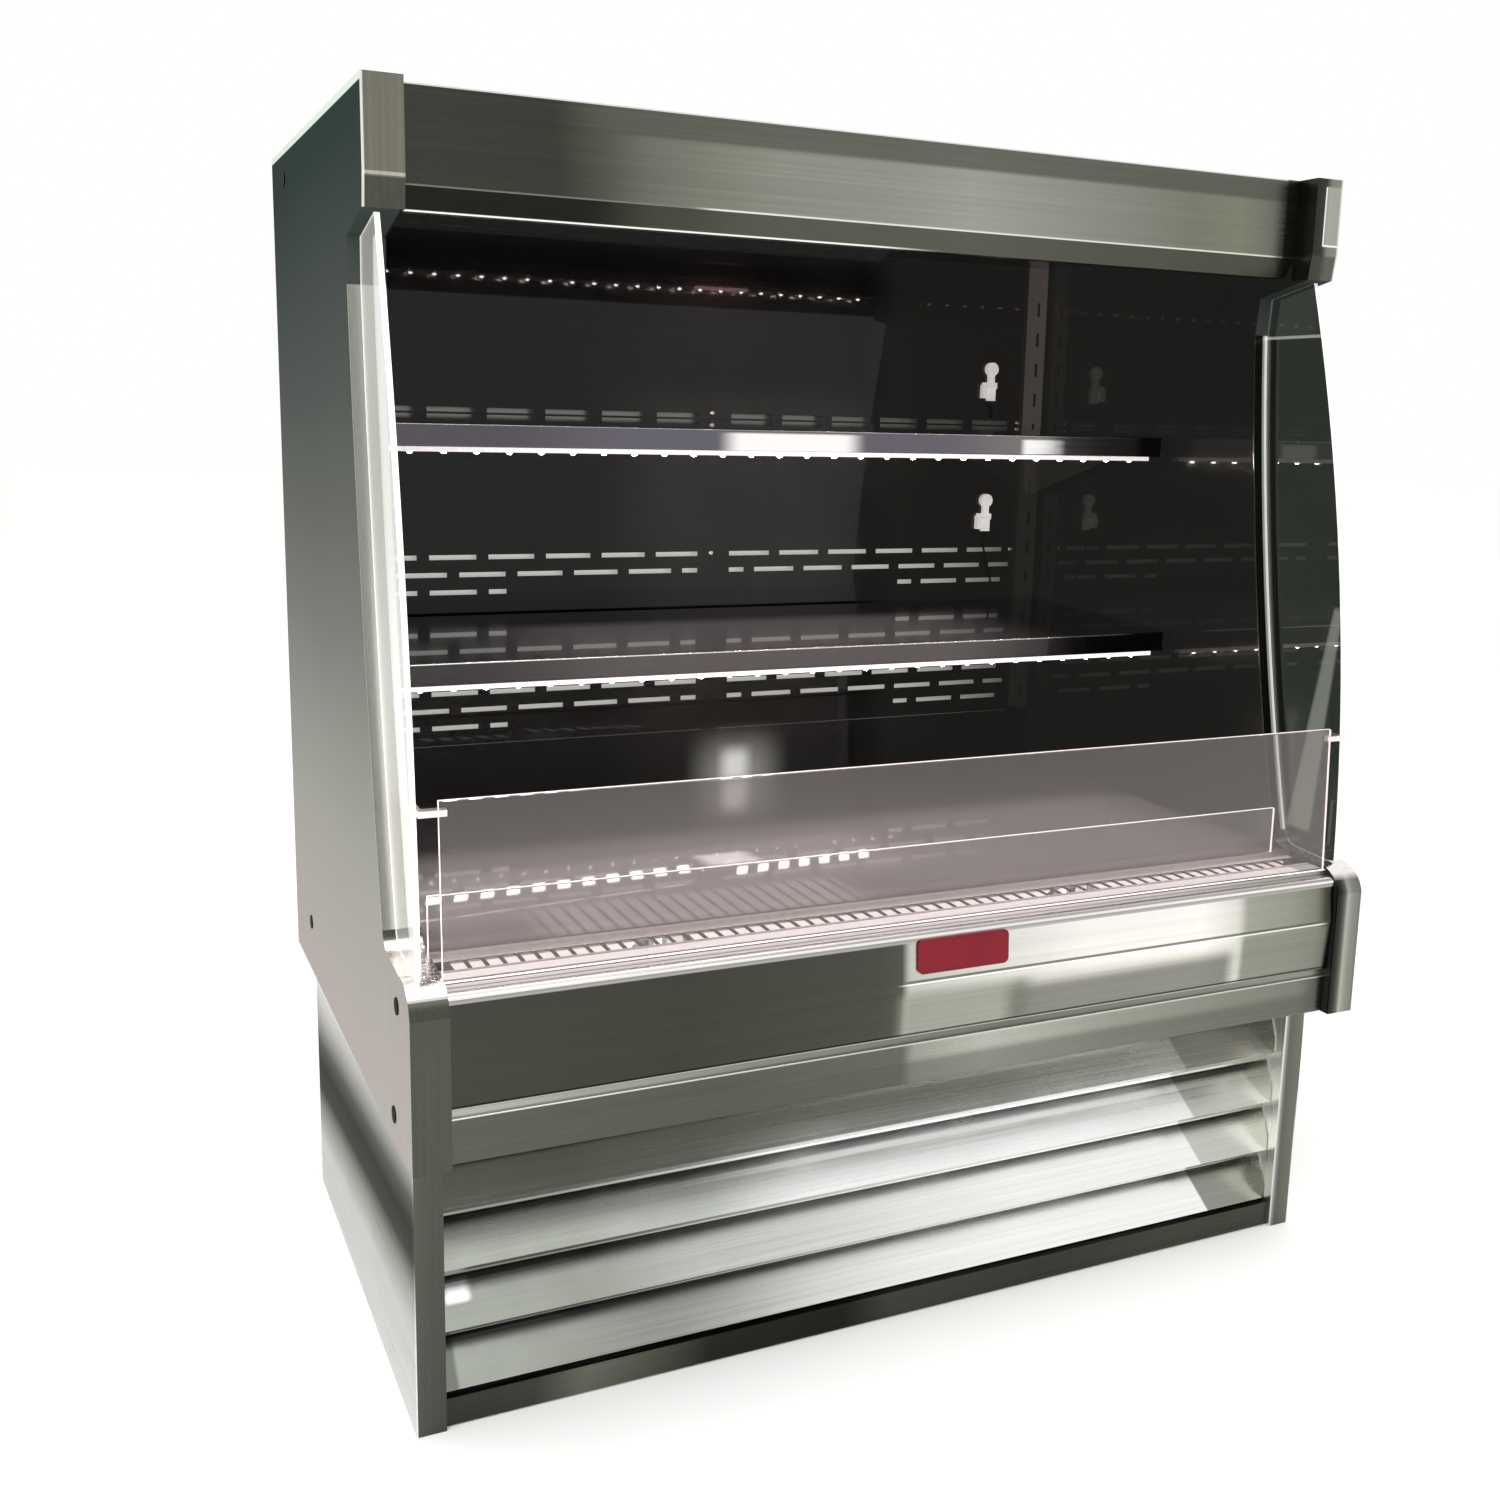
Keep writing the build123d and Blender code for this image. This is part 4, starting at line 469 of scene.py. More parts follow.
def copies(piece, places):
    """One mesh that holds the piece at each place; the pattern piece itself is used up."""
    made = []
    for at in places:
        pick(piece)
        bpy.ops.object.duplicate(linked=False)
        twin = bpy.context.object
        twin.location = twin.location + Vector(at)
        made.append(twin)
    clear_selection()
    for twin in made:
        twin.select_set(True)
    bpy.context.view_layer.objects.active = made[0]
    bpy.ops.object.join()
    bpy.data.objects.remove(piece)
    return bpy.context.object


def dome(radius, high):
    """Half-round bead standing on the XY plane."""
    clear_selection()
    bpy.ops.mesh.primitive_uv_sphere_add(segments=12, ring_count=8, radius=radius)
    bead = bpy.context.object
    bpy.ops.object.mode_set(mode="EDIT")
    bpy.ops.mesh.select_all(action="SELECT")
    bpy.ops.mesh.bisect(plane_co=(0, 0, 0), plane_no=Z, clear_inner=True, use_fill=True)
    bpy.ops.mesh.select_all(action="SELECT")
    bpy.ops.transform.resize(value=(1, 1, high / radius))
    bpy.ops.object.mode_set(mode="OBJECT")
    return bead


def screw_head(radius):
    """Pan head with a recess, standing along +Z."""
    clear_selection()
    bpy.ops.mesh.primitive_cylinder_add(vertices=20, radius=radius, depth=radius * 0.5)
    head = bpy.context.object
    pick_faces(head, lambda normal: normal.z > 0.9)
    bpy.ops.mesh.inset(thickness=radius * 0.25, depth=radius * 0.16)
    groove(radius * 0.34, radius * 0.02, radius * 0.28)
    bpy.ops.object.mode_set(mode="OBJECT")
    return head


def turned(piece, direction):
    """Turns a piece that stands along +Z to stand along a direction."""
    piece.rotation_euler = Vector(direction).to_track_quat("Z", "Y").to_euler()
    pick(piece)
    bpy.ops.object.transform_apply(location=False, rotation=True, scale=False)
    return piece


def dress(finish, *names):
    """Gives CAD nodes a finish."""
    for name in names:
        mesh = NODES[name].data
        mesh.materials.clear()
        mesh.materials.append(finish.material)


def levels(node):
    """Lowest and highest level of a node."""
    low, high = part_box(node)
    return low.z, high.z


# --- finishes of the outside -------------------------------------
# Places in the layers are metres from the middle of the footprint, at the floor, or from a node's edge.

def end_steel():
    """Foamed end: satin outside with a painted reflection that darkens upwards and a painted highlight on its
    pale rim, and a dark mirror inside with a faint painted glow.
    """
    f = Finish("end_sheet", 0.3, 1.0)
    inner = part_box("end_panel_right")[0].x
    top = levels("end_panel_right")[1]
    inside = f.spread(f.calc("ABSOLUTE", f.along(X)), inner + 0.001, inner + 0.0035, 1.0, 0.0)
    cloud = f.noise(2.2, 2.0)
    height = f.calc("MULTIPLY_ADD", cloud, 0.05, f.calc("SUBTRACT", f.along((0, 0.05, 1)), 0.025))
    # painted reflection, darker upwards
    stops = [(0.35, "b6b0aa"), (0.50, "aeaaa5"), (0.62, "a3a29c"), (0.72, "94958f"), (0.88, "777973"),
             (1.02, "62655f"), (1.15, "515552"), (1.28, "444a48"), (1.44, "303c37")]
    # painted highlight along the top rim
    rim = layer("e2e2de", 0.9, (Z, top - 0.0075, top + 0.006, 0.001))
    dark = wiped(f, f.noise(4.2, 4.0, 0.6), tone("1f1e1c"), tone("2b2927"))
    streak = f.streaks("Z", rough=0.65)
    outside = f.shaded(f.paint(f.drift(height, stops), [rim]), f.spread(streak, 0.3, 0.7, 0.96, 1.03))
    f.give("Base Color", f.blend(inside, outside, dark))
    f.give("Roughness", f.spread(inside, 0, 1, 0.38, 0.2))
    f.give("Metallic", f.calc("MAXIMUM", inside, f.spread(height, 0.5, 1.1, 0.30, 0.15)))
    # faint painted glow on the inside face
    f.light_up("1b1b19", inside)
    dull_edge_on(f)
    mirror_layer(f, inside)
    f.bump(streak, 0.15, 0.1 * MM)
    return f


def base_steel():
    """Side sheets of the base: pale satin with a dark band of painted shadow and reflection across it, a little
    lower at the back.
    """
    stops = [(0.0, "e6e6e4"), (0.10, "d9d9d6"), (0.155, "9a9a94"), (0.185, "53554e"), (0.225, "494b44"),
             (0.255, "6a6b64"), (0.30, "c2c2bd"), (0.35, "f4f2ee")]
    f = steel("base_sheet", stops, "Y", 0.34, warp=0.004, direction=(0, 0.09, 1))
    f.give("Metallic", 0.4)
    dull_edge_on(f)
    return f


def canopy_steel():
    """Painted reflections: dark left half, paler right half, darker along the top rim, with painted highlights
    on the top edge, the fold and the lower edge, and painted shade on a darker lip.
    """
    low, top = levels("canopy_panel")
    stops = [(-0.61, "3f423a"), (-0.42, "3c3f37"), (-0.37, "54564d"), (-0.32, "6e7066"), (-0.25, "7f8175"),
             (-0.16, "8d8e83"), (-0.02, "92938a"), (0.10, "a09f95"), (0.22, "93948a"), (0.34, "85867b"),
             (0.42, "7b7c70"), (0.50, "80816f"), (0.56, "75766b"), (0.61, "6c6d63")]
    lip = (Z, low - 0.1, low + 0.0246, 0.0008)
    layers = [layer("5a5c52", 0.85, (Z, top - 0.026, top - 0.0015, 0.006), (X, -0.35, 0.7, 0.08)),  # painted reflection, darker along the top rim
              layer("e8e9e4", 0.9, (Z, top - 0.0012, top + 0.002, 0.0008)),    # painted highlight on the top edge
              layer("77786f", 0.8, (Z, low + 0.0252, low + 0.0264, 0.0006), (X, -0.7, -0.28, 0.03)),  # painted highlight on the fold, dim at the left and bright further right
              layer("e4e2da", 0.9, (Z, low + 0.0252, low + 0.0266, 0.0008), (X, -0.24, 0.61, 0.04)),
              # painted shade on the lip
              layer("1d1e1b", 0.95, lip, (X, -0.7, -0.3, 0.1)),
              layer("42443b", 0.9, lip, (X, -0.3, 0.7, 0.1)),
              # painted reflection of the lamps along the lower edge
              layer("f2eeea", 0.9, (Z, low - 0.0003, low + 0.0014, 0.0008), (X, -0.65, -0.05, 0.12)),
              layer("34362e", 0.85, (X, 0.587, 0.62, 0.005))]    # shade beside the cap
    return steel("canopy_sheet", stops, "X", 0.3, layers, warp=0.06)


def cap_steel():
    """Canopy caps: a painted highlight on a fold line and painted shade on a darker foot, on the right one a
    pale field of painted reflection framed by painted highlights, and painted highlights on the outer edges.
    """
    low, top = levels("canopy_caps")
    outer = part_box("canopy_caps")[1].x
    stops = [(-0.65, "767569"), (0.55, "767569"), (0.605, "33352e"), (0.6195, "3d4038"), (0.63, "83857b"),
             (0.65, "8b8d83")]
    left, right = (X, -0.7, 0, 0.01), (X, 0.6, 0.66, 0.001)
    layers = [layer("c6c6be", 0.7, (Z, low + 0.0325, low + 0.035, 0.001), left),    # painted highlight on the fold of the left cap
              layer("44463e", 0.85, (Z, low - 0.04, low + 0.03, 0.001), left),      # painted shade on its foot
              layer("a9a99f", 0.9, (X, 0.621, 0.66, 0.001), (Z, low + 0.047, top - 0.012, 0.003)),   # pale field of painted reflection
              # painted highlights framing the field
              layer("ffffff", 0.9, (X, 0.6195, 0.6212, 0.0006), (Z, low + 0.045, top - 0.012, 0.002)),
              layer("ffffff", 0.9, (X, 0.6205, 0.66, 0.001), (Z, low + 0.0435, low + 0.0455, 0.0006)),
              layer("4b4d45", 0.7, right, (Z, low - 0.04, low + 0.029, 0.004)),     # painted shade on the foot of the right cap
              layer("f4f4ee", 0.8, (X, -outer - 0.0015, -outer + 0.002, 0.0006)),   # painted highlights on the outer edges
              layer("e9e9e2", 0.8, (X, outer - 0.002, outer + 0.0015, 0.0006))]
    return steel("cap_sheet", stops, "Z", 0.28, layers, warp=0.0)


def front_steel():
    """Painted reflections, dark left of the badge and bright right of it, with painted highlights on the folds
    and the rounded top edge and painted shade in a line along the foot.
    """
    low, top = levels("front_panel")
    stops = [(-0.61, "3f403a"), (-0.35, "3c3d36"), (-0.10, "454640"), (-0.066, "4c4d45"), (-0.056, "b4b4ac"),
             (0.05, "c9c8c1"), (0.20, "e6e2de"), (0.38, "efebe6"), (0.44, "d2d1c9"), (0.455, "9a9b91"),
             (0.53, "8e9085"), (0.575, "7a7c70"), (0.592, "3d3f37"), (0.61, "35372f")]
    crease = low + 0.068
    right = (X, -0.055, 0.58, 0.02)
    layers = [layer("8d8f84", 0.9, (X, -0.05, 0.10, 0.03), (Z, low - 0.005, low + 0.045, 0.02)),   # painted reflections low down, in this and the next two layers
              layer("6c6e64", 0.9, (X, 0.10, 0.42, 0.03), (Z, low - 0.005, low + 0.033, 0.03)),
              layer("7b7d72", 0.7, (X, 0.455, 0.59, 0.01), (Z, low - 0.015, low + 0.06, 0.01)),
              # painted shade and painted highlight along the crease
              layer("595a51", 0.85, right, (Z, crease + 0.0008, crease + 0.0036, 0.0008)),
              layer("fffdf8", 0.7, right, (Z, crease - 0.0012, crease, 0.0008)),
              layer("a9a9a1", 0.9, (Z, low - 0.015, low + 0.0022, 0.001), (X, -0.61, 0.40, 0.12)),   # painted highlight along the foot
              # painted shade in a thin line above the foot
              layer("191a17", 0.85, (Z, low + 0.0028, low + 0.0046, 0.0006)),
              layer("a7a49f", 0.9, (Z, top - 0.011, top + 0.015, 0.0012)),    # painted highlights on the rounded top edge, in this and the next two layers
              layer("f7f2f1", 0.9, (Z, top - 0.0065, top - 0.0045, 0.0008)),
              layer("f2eaec", 0.95, (Z, top - 0.001, top + 0.015, 0.0012))]
    return steel("front_sheet", stops, "X", 0.24, layers, warp=0.0)


def rail_steel():
    """Narrow rail: painted highlight on the top edge, painted shade darker towards its underside."""
    low, top = levels("lower_rail")
    stops = [(-0.61, "55564f"), (-0.3, "50514a"), (-0.06, "5f6057"), (-0.045, "8e8f86"), (0.06, "a9a8a0"),
             (0.25, "8c8e84"), (0.56, "72746a"), (0.60, "4a4c44")]
    # painted highlight on the top edge, then painted shade low down
    layers = [layer("dedcd6", 0.9, (Z, top - 0.0015, top + 0.0006, 0.0006)),
              layer("55574f", 0.6, (Z, low - 0.003, low + 0.022, 0.014))]
    return steel("rail_sheet", stops, "X", 0.28, layers, warp=0.01)


def blade_steel():
    """Leaning blades with painted reflections: grey-green at the left, near white at the right, greyer past a
    slanting line.
    """
    stops = [(-0.61, "82857e"), (-0.45, "8a8d86"), (-0.25, "b2b5af"), (0.0, "e4e5e1"), (0.2, "f6f6f3"),
             (0.45, "f6f6f3")]
    beyond = ((0.97, 0.0, 0.25), 0.496, 0.7, 0.004)
    lowest = (Z, -0.1, 0.075, 0.01)
    # painted reflections, darker at the lowest blade's left and past the slanting line
    layers = [layer("747770", 0.75, lowest, (X, -0.7, -0.35, 0.25)),
              layer("bfc0b7", 0.9, beyond),
              layer("8b8c82", 0.9, beyond, lowest),
              layer("ffffff", 0.7, (Z, 0.185, 0.275, 0.01), (X, -0.1, 0.25, 0.2)),    # painted highlight on the third blade's middle
              layer("6f726a", 0.6, (Z, 0.095, 0.180, 0.01), (X, -0.7, -0.45, 0.2)),   # painted shade on the second blade's left
              layer("ffffff", 0.6, (X, -0.585, -0.57, 0.012), (Z, 0.138, 0.151, 0.006)),   # flash of light
              layer("4c4e47", 0.8, (X, -0.61, -0.585, 0.006), (Z, 0.036, 0.08, 0.01))]    # painted shadow in the lower left corner
    return steel("louver_sheet", stops, "X", 0.24, layers, warp=0.02)


def kick_steel():
    """Dark plate near the floor with soft paler stretches of painted reflection."""
    stops = [(-0.61, "3b3c36"), (-0.50, "44453e"), (-0.44, "6a6b61"), (-0.38, "5b5d53"), (-0.27, "2b2c28"),
             (-0.10, "262723"), (-0.02, "45463f"), (0.2, "3d3e38"), (0.45, "47483f"), (0.61, "44453e")]
    return steel("kick_sheet", stops, "X", 0.3, warp=0.06)


def leg_steel():
    """Corner posts: the right one has a painted highlight on its inner edge."""
    stops = [(-0.65, "565952"), (-0.603, "4b4e47"), (0.585, "55564f"), (0.601, "efefeb"), (0.606, "5b5c55"),
             (0.63, "66685f")]
    return steel("leg_sheet", stops, "Z", 0.3, warp=0.0)


def cheek_steel():
    """Rounded caps over the lower front of the ends, with painted shade on their inner side, a painted bright
    streak, and painted highlights where they look up.
    """
    stops = [(-0.65, "4c4d46"), (0.0, "55564f"), (0.60, "1f201c"), (0.612, "2a2c27"), (0.619, "53554d"),
             (0.624, "a3a49a"), (0.631, "888980"), (0.65, "686a62")]
    return steel("cheek_sheet", stops, "Z", 0.27, top="f6f0ee", warp=0.0)


def sill_steel():
    """Sill under the front glass, with a painted glow of the lamps over it on its bright top, painted shade in
    a thin line along its front and painted shade at its right end.
    """
    stops = [(-0.61, "e4dfdd"), (0.1, "e2dcda"), (0.35, "d2cfc8"), (0.61, "9d9f95")]
    front_line = (Y, -0.3815, -0.3795, 0.0004), (Z, 0.5494, 0.5503, 0.0004)
    layers = [layer("1b1617", 1.0, (X, 0.568, 0.607, 0.003), (Y, -0.372, -0.347, 0.001)),  # painted shade at the dark right end
              # painted shade in a thin line along the front edge
              layer("5c3f42", 0.9, (X, -0.62, 0.52, 0.02), *front_line)]
    f = steel("sill_sheet", stops, "X", 0.4, layers, mottle=0.04, top="f6f0f1")
    return lit_from_above(f, "efe9ea", 0.52)


def post_steel():
    """Strips on the slanting edges with painted reflections: the left one bright, the right one dark with a
    painted highlight and mirrored stripes laid on as light.
    """
    stops = [(-0.65, "7b7f78"), (-0.6375, "9c9e97"), (-0.632, "f2f0ec"), (-0.6055, "e9e6e1"), (0.6, "8a8882"),
             (0.65, "55544f")]
    # painted highlight and shade across the right strip, and painted reflections greying the left strip up high
    layers = [layer("b5b3ae", 0.9, (X, 0.6, 0.606, 0.001)),
              layer("2e2e2b", 0.9, (X, 0.607, 0.62, 0.002)),
              layer("d8d0cc", 0.95, (X, 0.6225, 0.630, 0.003)),
              layer("8d8f88", 0.75, (X, -0.66, -0.59, 0.01), (Z, 1.10, 1.5, 0.30)),
              layer("4c4e48", 0.8, (X, -0.6325, -0.6295, 0.0008), (Z, 0.9, 1.5, 0.2))]
    # mirrored stripes on the right strip, painted as light
    stripes = [layer("7d8078", 1.0, (X, 0.6200, 0.633, 0.0008)),
               layer("cccdc6", 1.0, (X, 0.6240, 0.6275, 0.0008)),
               layer("83847e", 1.0, (X, 0.6010, 0.6035, 0.0006))]
    f = steel("post_sheet", stops, "Z", 0.2, layers, mottle=0.04, warp=0.0)
    f.light_up(f.paint((0, 0, 0), stripes))
    return f


class FRIDGE_OT_outer_steel(bpy.types.Operator):
    """Brushed stainless of the outside: ends, canopy, front, louvres and base"""
    bl_idname = "fridge.outer_steel"
    bl_label = "Outer stainless"

    def execute(self, context):
        dress(end_steel(), "end_panel_left", "end_panel_right")
        dress(base_steel(), "base_sides")
        dress(canopy_steel(), "canopy_panel")
        dress(cap_steel(), "canopy_caps")
        dress(front_steel(), "front_panel")
        dress(rail_steel(), "lower_rail")
        dress(blade_steel(), "louver_panel")
        dress(kick_steel(), "kick_plate")
        dress(leg_steel(), "base_frame")
        dress(cheek_steel(), "end_trim_left", "end_trim_right")
        dress(sill_steel(), "sill_rail")
        dress(post_steel(), "post_trims")
        dress(steel("top_sheet", [(-0.6, "8b8c86"), (0.6, "7c7d77")], "X", 0.32), "top_panel")
        return {"FINISHED"}


# --- finishes of the inside --------------------------------------

def wall_lining():
    """Back wall: painted shade, darker left and at the top, and a painted glow with the flare of a lamp low in
    the middle.
    """
    # painted shade
    tones = [layer("0f0e0e", 0.85, (X, -0.7, -0.22, 0.18)),
             layer("141312", 0.7, (Z, 1.2, 1.5, 0.05)),
             layer("1b1a18", 0.7, (X, 0.33, 0.7, 0.1))]
    # painted light: a glow on the right and the flare of a lamp
    glow = [layer("1a1917", 1.0, (X, 0.34, 0.7, 0.10)),
            layer("a19e98", 0.6, (X, 0.03, 0.06, 0.085), (Z, 0.53, 0.575, 0.085)),       # halo of the flare
            layer("e8e6e0", 0.7, (X, 0.036, 0.046, 0.032), (Z, 0.575, 0.590, 0.034))]    # its middle
    return lining("back_lining", "201f1d", 0.2, "X", tones, glow=glow)


def upright_lining():
    """Slotted uprights and brackets with a painted glow of the lamps, lighter above the upper shelf."""
    glow = [layer("1f1f1d", 1.0, (Z, 0.5, 1.5, 0.1)), layer("3f3a37", 1.0, (Z, 1.14, 1.5, 0.06))]
    return lining("bracket_steel", "4a4643", 0.2, "Z", glow=glow)


def shelf_lining(name, left, middle, right, rim_strength, flares=(), glow=()):
    """Polished shelf. left, middle and right are the painted reflections along its front edge, which has a pale
    painted highlight on its rim, and flares are (low, high, soft, height, sRGB code) of the lamps' bright
    reflections painted on it."""
    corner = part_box(name)[0]
    front, foot = corner.y, corner.z
    rim = (Z, foot + 0.0274, foot + 0.031, 0.0006)
    nose = (Y, front - 0.01, front + 0.004, 0.002)
    bright = [layer(code, 1.0, (X, low, high, soft), (Y, front - 0.0255, front + 0.0045, 0.01),
                    (Z, foot - 0.007, foot + height, 0.004)) for low, high, soft, height, code in flares]
    # painted reflections along the front edge
    tones = [layer(left, 0.95, nose),
             layer(middle, 0.9, nose, (X, -0.25, 0.25, 0.2)),
             layer(right, 0.9, nose, (X, 0.40, 0.60, 0.2)),
             *bright,
             # painted highlight on the rim
             layer("e2dcda", rim_strength, nose, (X, -0.7, 0.50, 0.05), rim),
             # painted shade at the right end
             layer("201f24", 0.9, (X, 0.565, 0.7, 0.025))]
    return lining(name + "_steel", "4a474a", 0.16, "X", tones, glow=glow)


def deck_lining():
    """Deck pans made bright by a painted glow of the lamps, that mirror the beads of the lamps as two leaning
    rows and the grille's slots as dashes and stripes.

    In the photograph the rows are reflections of the lit case, so they are painted as light."""
    near, dashes, far = (-0.058, 1, 0), (-0.099, 1, 0), (-0.073, 1, 0)    # square to the rows' lines
    # painted glow of the lamps over the deck, and a painted flare
    glow = [layer("786f6f", 0.8, (X, -0.7, 0.45, 0.25), (Y, -0.34, 0.02, 0.10)),
            layer("968d8c", 0.7, (X, -0.7, 0.02, 0.12), (near, -0.16, -0.02, 0.05)),
            layer("fff8f8", 1.0, (X, -0.172, -0.132, 0.03), (Y, -0.079, -0.049, 0.02))]
    # painted reflections: two rows of lamp beads, and dashes and stripes of the grille's slots
    spots = [spot_row("fffafa", 4.0, (0.957, -0.289, 0), -0.5003, 0.0311, 0.32,
                      (X, -0.572, -0.205, 0.004), (near, -0.083, -0.073, 0.017)),
             spot_row("cfc6c5", 1.0, X, -0.5106, 0.0883, 0.56,
                      (X, -0.64, -0.26, 0.02), (dashes, -0.1318, -0.1258, 0.002)),
             spot_row("fffafa", 4.0, (0.899, -0.437, 0), -0.0868, 0.02696, 0.32,
                      (X, -0.166, 0.044, 0.004), (far, -0.114, -0.102, 0.017)),
             spot_row("b0a7a6", 1.0, X, 0.0, 0.0196, 0.5,
                      (X, -0.42, -0.10, 0.08), (Y, -0.305, -0.20, 0.03))]
    f = lining("deck_steel", "958c8a", 0.06, "Y", lift=1.15, glow=glow, spots=spots, mirror=1.5)
    f.give("Metallic", 0.7)
    return f


def grille_steel():
    """Return grille: pale frame with a painted glow of the lamps, and bars between its slots darkened by
    painted shade.
    """
    low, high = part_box("return_grille")
    # painted shade over the bars between the slots, kept out of the glow
    bars = (Y, low.y + 0.006, high.y - 0.006, 0.0008)
    stops = [(-0.6, "a39997"), (0.2, "aea4a2"), (0.5, "c6bcba"), (0.6, "d5cdca")]
    f = steel("grille_steel", stops, "X", 0.35, [layer("373132", 0.95, bars)], mottle=0.05)
    return lit_from_above(f, "efe9ea", 0.35, 0.6, [bars])


def duct_steel():
    """Back panel: plain outside, lit inside where the slots show it."""
    f = Finish("duct_steel", 0.35, 0.6)
    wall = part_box("back_panel")[0].y
    streak = f.streaks("X")
    f.give("Base Color", f.blend(f.spread(streak, 0.3, 0.7), tone("8b8c86"), tone("9a9b95")))
    inner = f.spread(f.along(Y), wall + 0.0007, wall + 0.002, 1.0, 0.0)
    lit = f.calc("MULTIPLY", f.within((Z, 0.6, 0.96, 0.14), (X, -0.7, 0.30, 0.35)), 0.40)
    f.light_up("f4f4ee", f.calc("MULTIPLY", inner, f.calc("ADD", 0.02, lit)))
    f.bump(streak, 0.2, 0.1 * MM)
    return f


class FRIDGE_OT_lining(bpy.types.Operator):
    """Polished lining, shelves, deck and air ways"""
    bl_idname = "fridge.lining"
    bl_label = "Inner lining"

    def execute(self, context):
        dress(wall_lining(), "rear_duct_panel", "lower_duct_panel")
        dress(lining("dark_lining", "1d1c1a"), "ceiling_panel")
        well = [(-0.6, "a6a8a1"), (-0.25, "7d7f78"), (0.1, "6c6e67"), (0.6, "888a83")]
        dress(steel("well_sheet", well, "X", 0.35), "tank")
        dress(upright_lining(), "shelf_standards", "shelf_brackets")
        flares = [(-0.10, 0.05, 0.04, 0.022, "fffcfa"), (0.355, 0.41, 0.015, 0.020, "ffffff")]
        dress(shelf_lining("shelf_upper", "534f55", "64606a", "827d7a", 0.5, flares), "shelf_upper")
        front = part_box("shelf_lower")[0].y
        # painted glow of the lamps on the lower shelf's top
        glow = [layer("5a5152", 0.85, (X, -0.25, 0.2, 0.25), (Y, front + 0.03, front + 0.2, 0.08))]
        dress(shelf_lining("shelf_lower", "363533", "3b3837", "262322", 0.9, glow=glow), "shelf_lower")
        dress(deck_lining(), "deck_pan_left", "deck_pan_right")
        dress(grille_steel(), "return_grille")
        support = [(-0.6, "f1e9e6"), (0.6, "f1e9e6")]
        dress(steel("support_steel", support, "X", 0.35, mottle=0.05), "deck_support", "glass_clips")
        dress(plain("comb_plastic", "1b1b1b", 0.5), "air_comb")
        dress(duct_steel(), "back_panel")
        return {"FINISHED"}


class FRIDGE_OT_glass(bpy.types.Operator):
    """Front, inner and end glasses"""
    bl_idname = "fridge.glass"
    bl_label = "Glass"

    def execute(self, context):
        dress(pane("front_pane", "e3dedd", "f6e6e3", Y, "938684", 0.08, 0.7), "front_glass")
        dress(pane("inner_pane", "e8e4e3", "fff8f6", Y, "938684", 0.02, 1.0), "inner_glass")
        dress(pane("end_pane_left", "dcdcd8", "f4f2ee", X, "f2f0ec", 0.16, 0.55), "end_glass_left")
        # painted reflections on the right end glass, laid on as light: a pale slanting streak, a darker head
        # and a line under it
        wedge = (((0, -0.983, -0.185), 0.162, 2.162, 0.006), ((0, 0.995, 0.095), -0.257, 1.743, 0.006))
        marks = [layer("7f8178", 0.6, *wedge, (Z, 0.593, 0.9, 0.01)),
                 layer("262a27", 0.7, (Z, 1.273, 1.5, 0.004), (Y, -0.24, 0.1, 0.03)),   # painted reflection, darker over the head
                 layer("8a8b86", 0.9, (Z, 1.268, 1.271, 0.001))]    # painted reflection, a line under the head
        # the right pane's dark tint is painted shade of what lies behind it
        dress(pane("end_pane_right", "2b2f2a", "d5d5ce", X, "60645c", 0.02, 0.5, marks), "end_glass_right")
        return {"FINISHED"}


# --- lamps -------------------------------------------------------

STRIPS = {"canopy_lamp": ("cabinet", 0.06),         # each light strip's body, and how much its lens glows
          "shelf_upper_lamp": ("upper_shelf", 0.35),
          "shelf_lower_lamp": ("lower_shelf", 0.75)}
STRIP_ENDS = 20 * MM          # bare length of a strip at both ends together, at least
BEAD_SUNK = 0.2 * MM          # beads start this far inside the lens
CONNECTOR_X = 222 * MM
CONNECTOR_BACK = 9.5 * MM     # from the strip's back to its middle
CONNECTOR_UP = 6 * MM         # from the strip's underside to its middle


class FRIDGE_OT_lamps(bpy.types.Operator):
    """Light strips, their beads and the connector of the canopy strip"""
    bl_idname = "fridge.lamps"
    bl_label = "Lamps"

    def execute(self, context):
        glow = glowing("lamp_bead", context.scene.fridge_colours.lamp, context.scene.fridge_sizes.bead_glow)
        for node, (body, strength) in STRIPS.items():
            dress(glowing(node + "_lens", "f6eef0", strength, "d8d2d2"), node)
            self.beads(context.scene.fridge_sizes, node, glow, body)
        self.connector(context.scene.fridge_sizes)
        return {"FINISHED"}

    def beads(self, sizes, node, glow, body):
        """Row of beads under a light strip."""
        low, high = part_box(node)
        count = int((high.x - low.x - STRIP_ENDS) // sizes.bead_pitch)
        start = -(count - 1) / 2 * sizes.bead_pitch
        middle = (low.y + high.y) / 2
        bead = turned(dome(sizes.bead_radius, sizes.bead_radius / 2), (0, 0, -1))
        places = [(start + i * sizes.bead_pitch, middle, low.z + BEAD_SUNK) for i in range(count)]
        beads = copies(bead, places)
        settle(beads, node + "_beads", glow, body)

    def connector(self, sizes):
        """Clear ribbed connector on the back of the canopy strip, with a painted glow of the lamp."""
        low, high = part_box("canopy_lamp")
        piece = block((CONNECTOR_X, high.y + CONNECTOR_BACK, low.z + CONNECTOR_UP),
                      (sizes.connector_wide, sizes.connector_deep, sizes.connector_high))
        bpy.ops.mesh.bevel(offset=1.6 * MM, segments=3)
        pick_faces(piece, lambda normal: normal.z < -0.95 or normal.y > 0.95)
        groove(2.6 * MM, 0.6 * MM, 1.2 * MM)
        bpy.ops.object.mode_set(mode="OBJECT")
        settle(piece, "lamp_connector", glowing("connector_plastic", "f4b6bc", 9.0, "e9c4c8"), "cabinet")


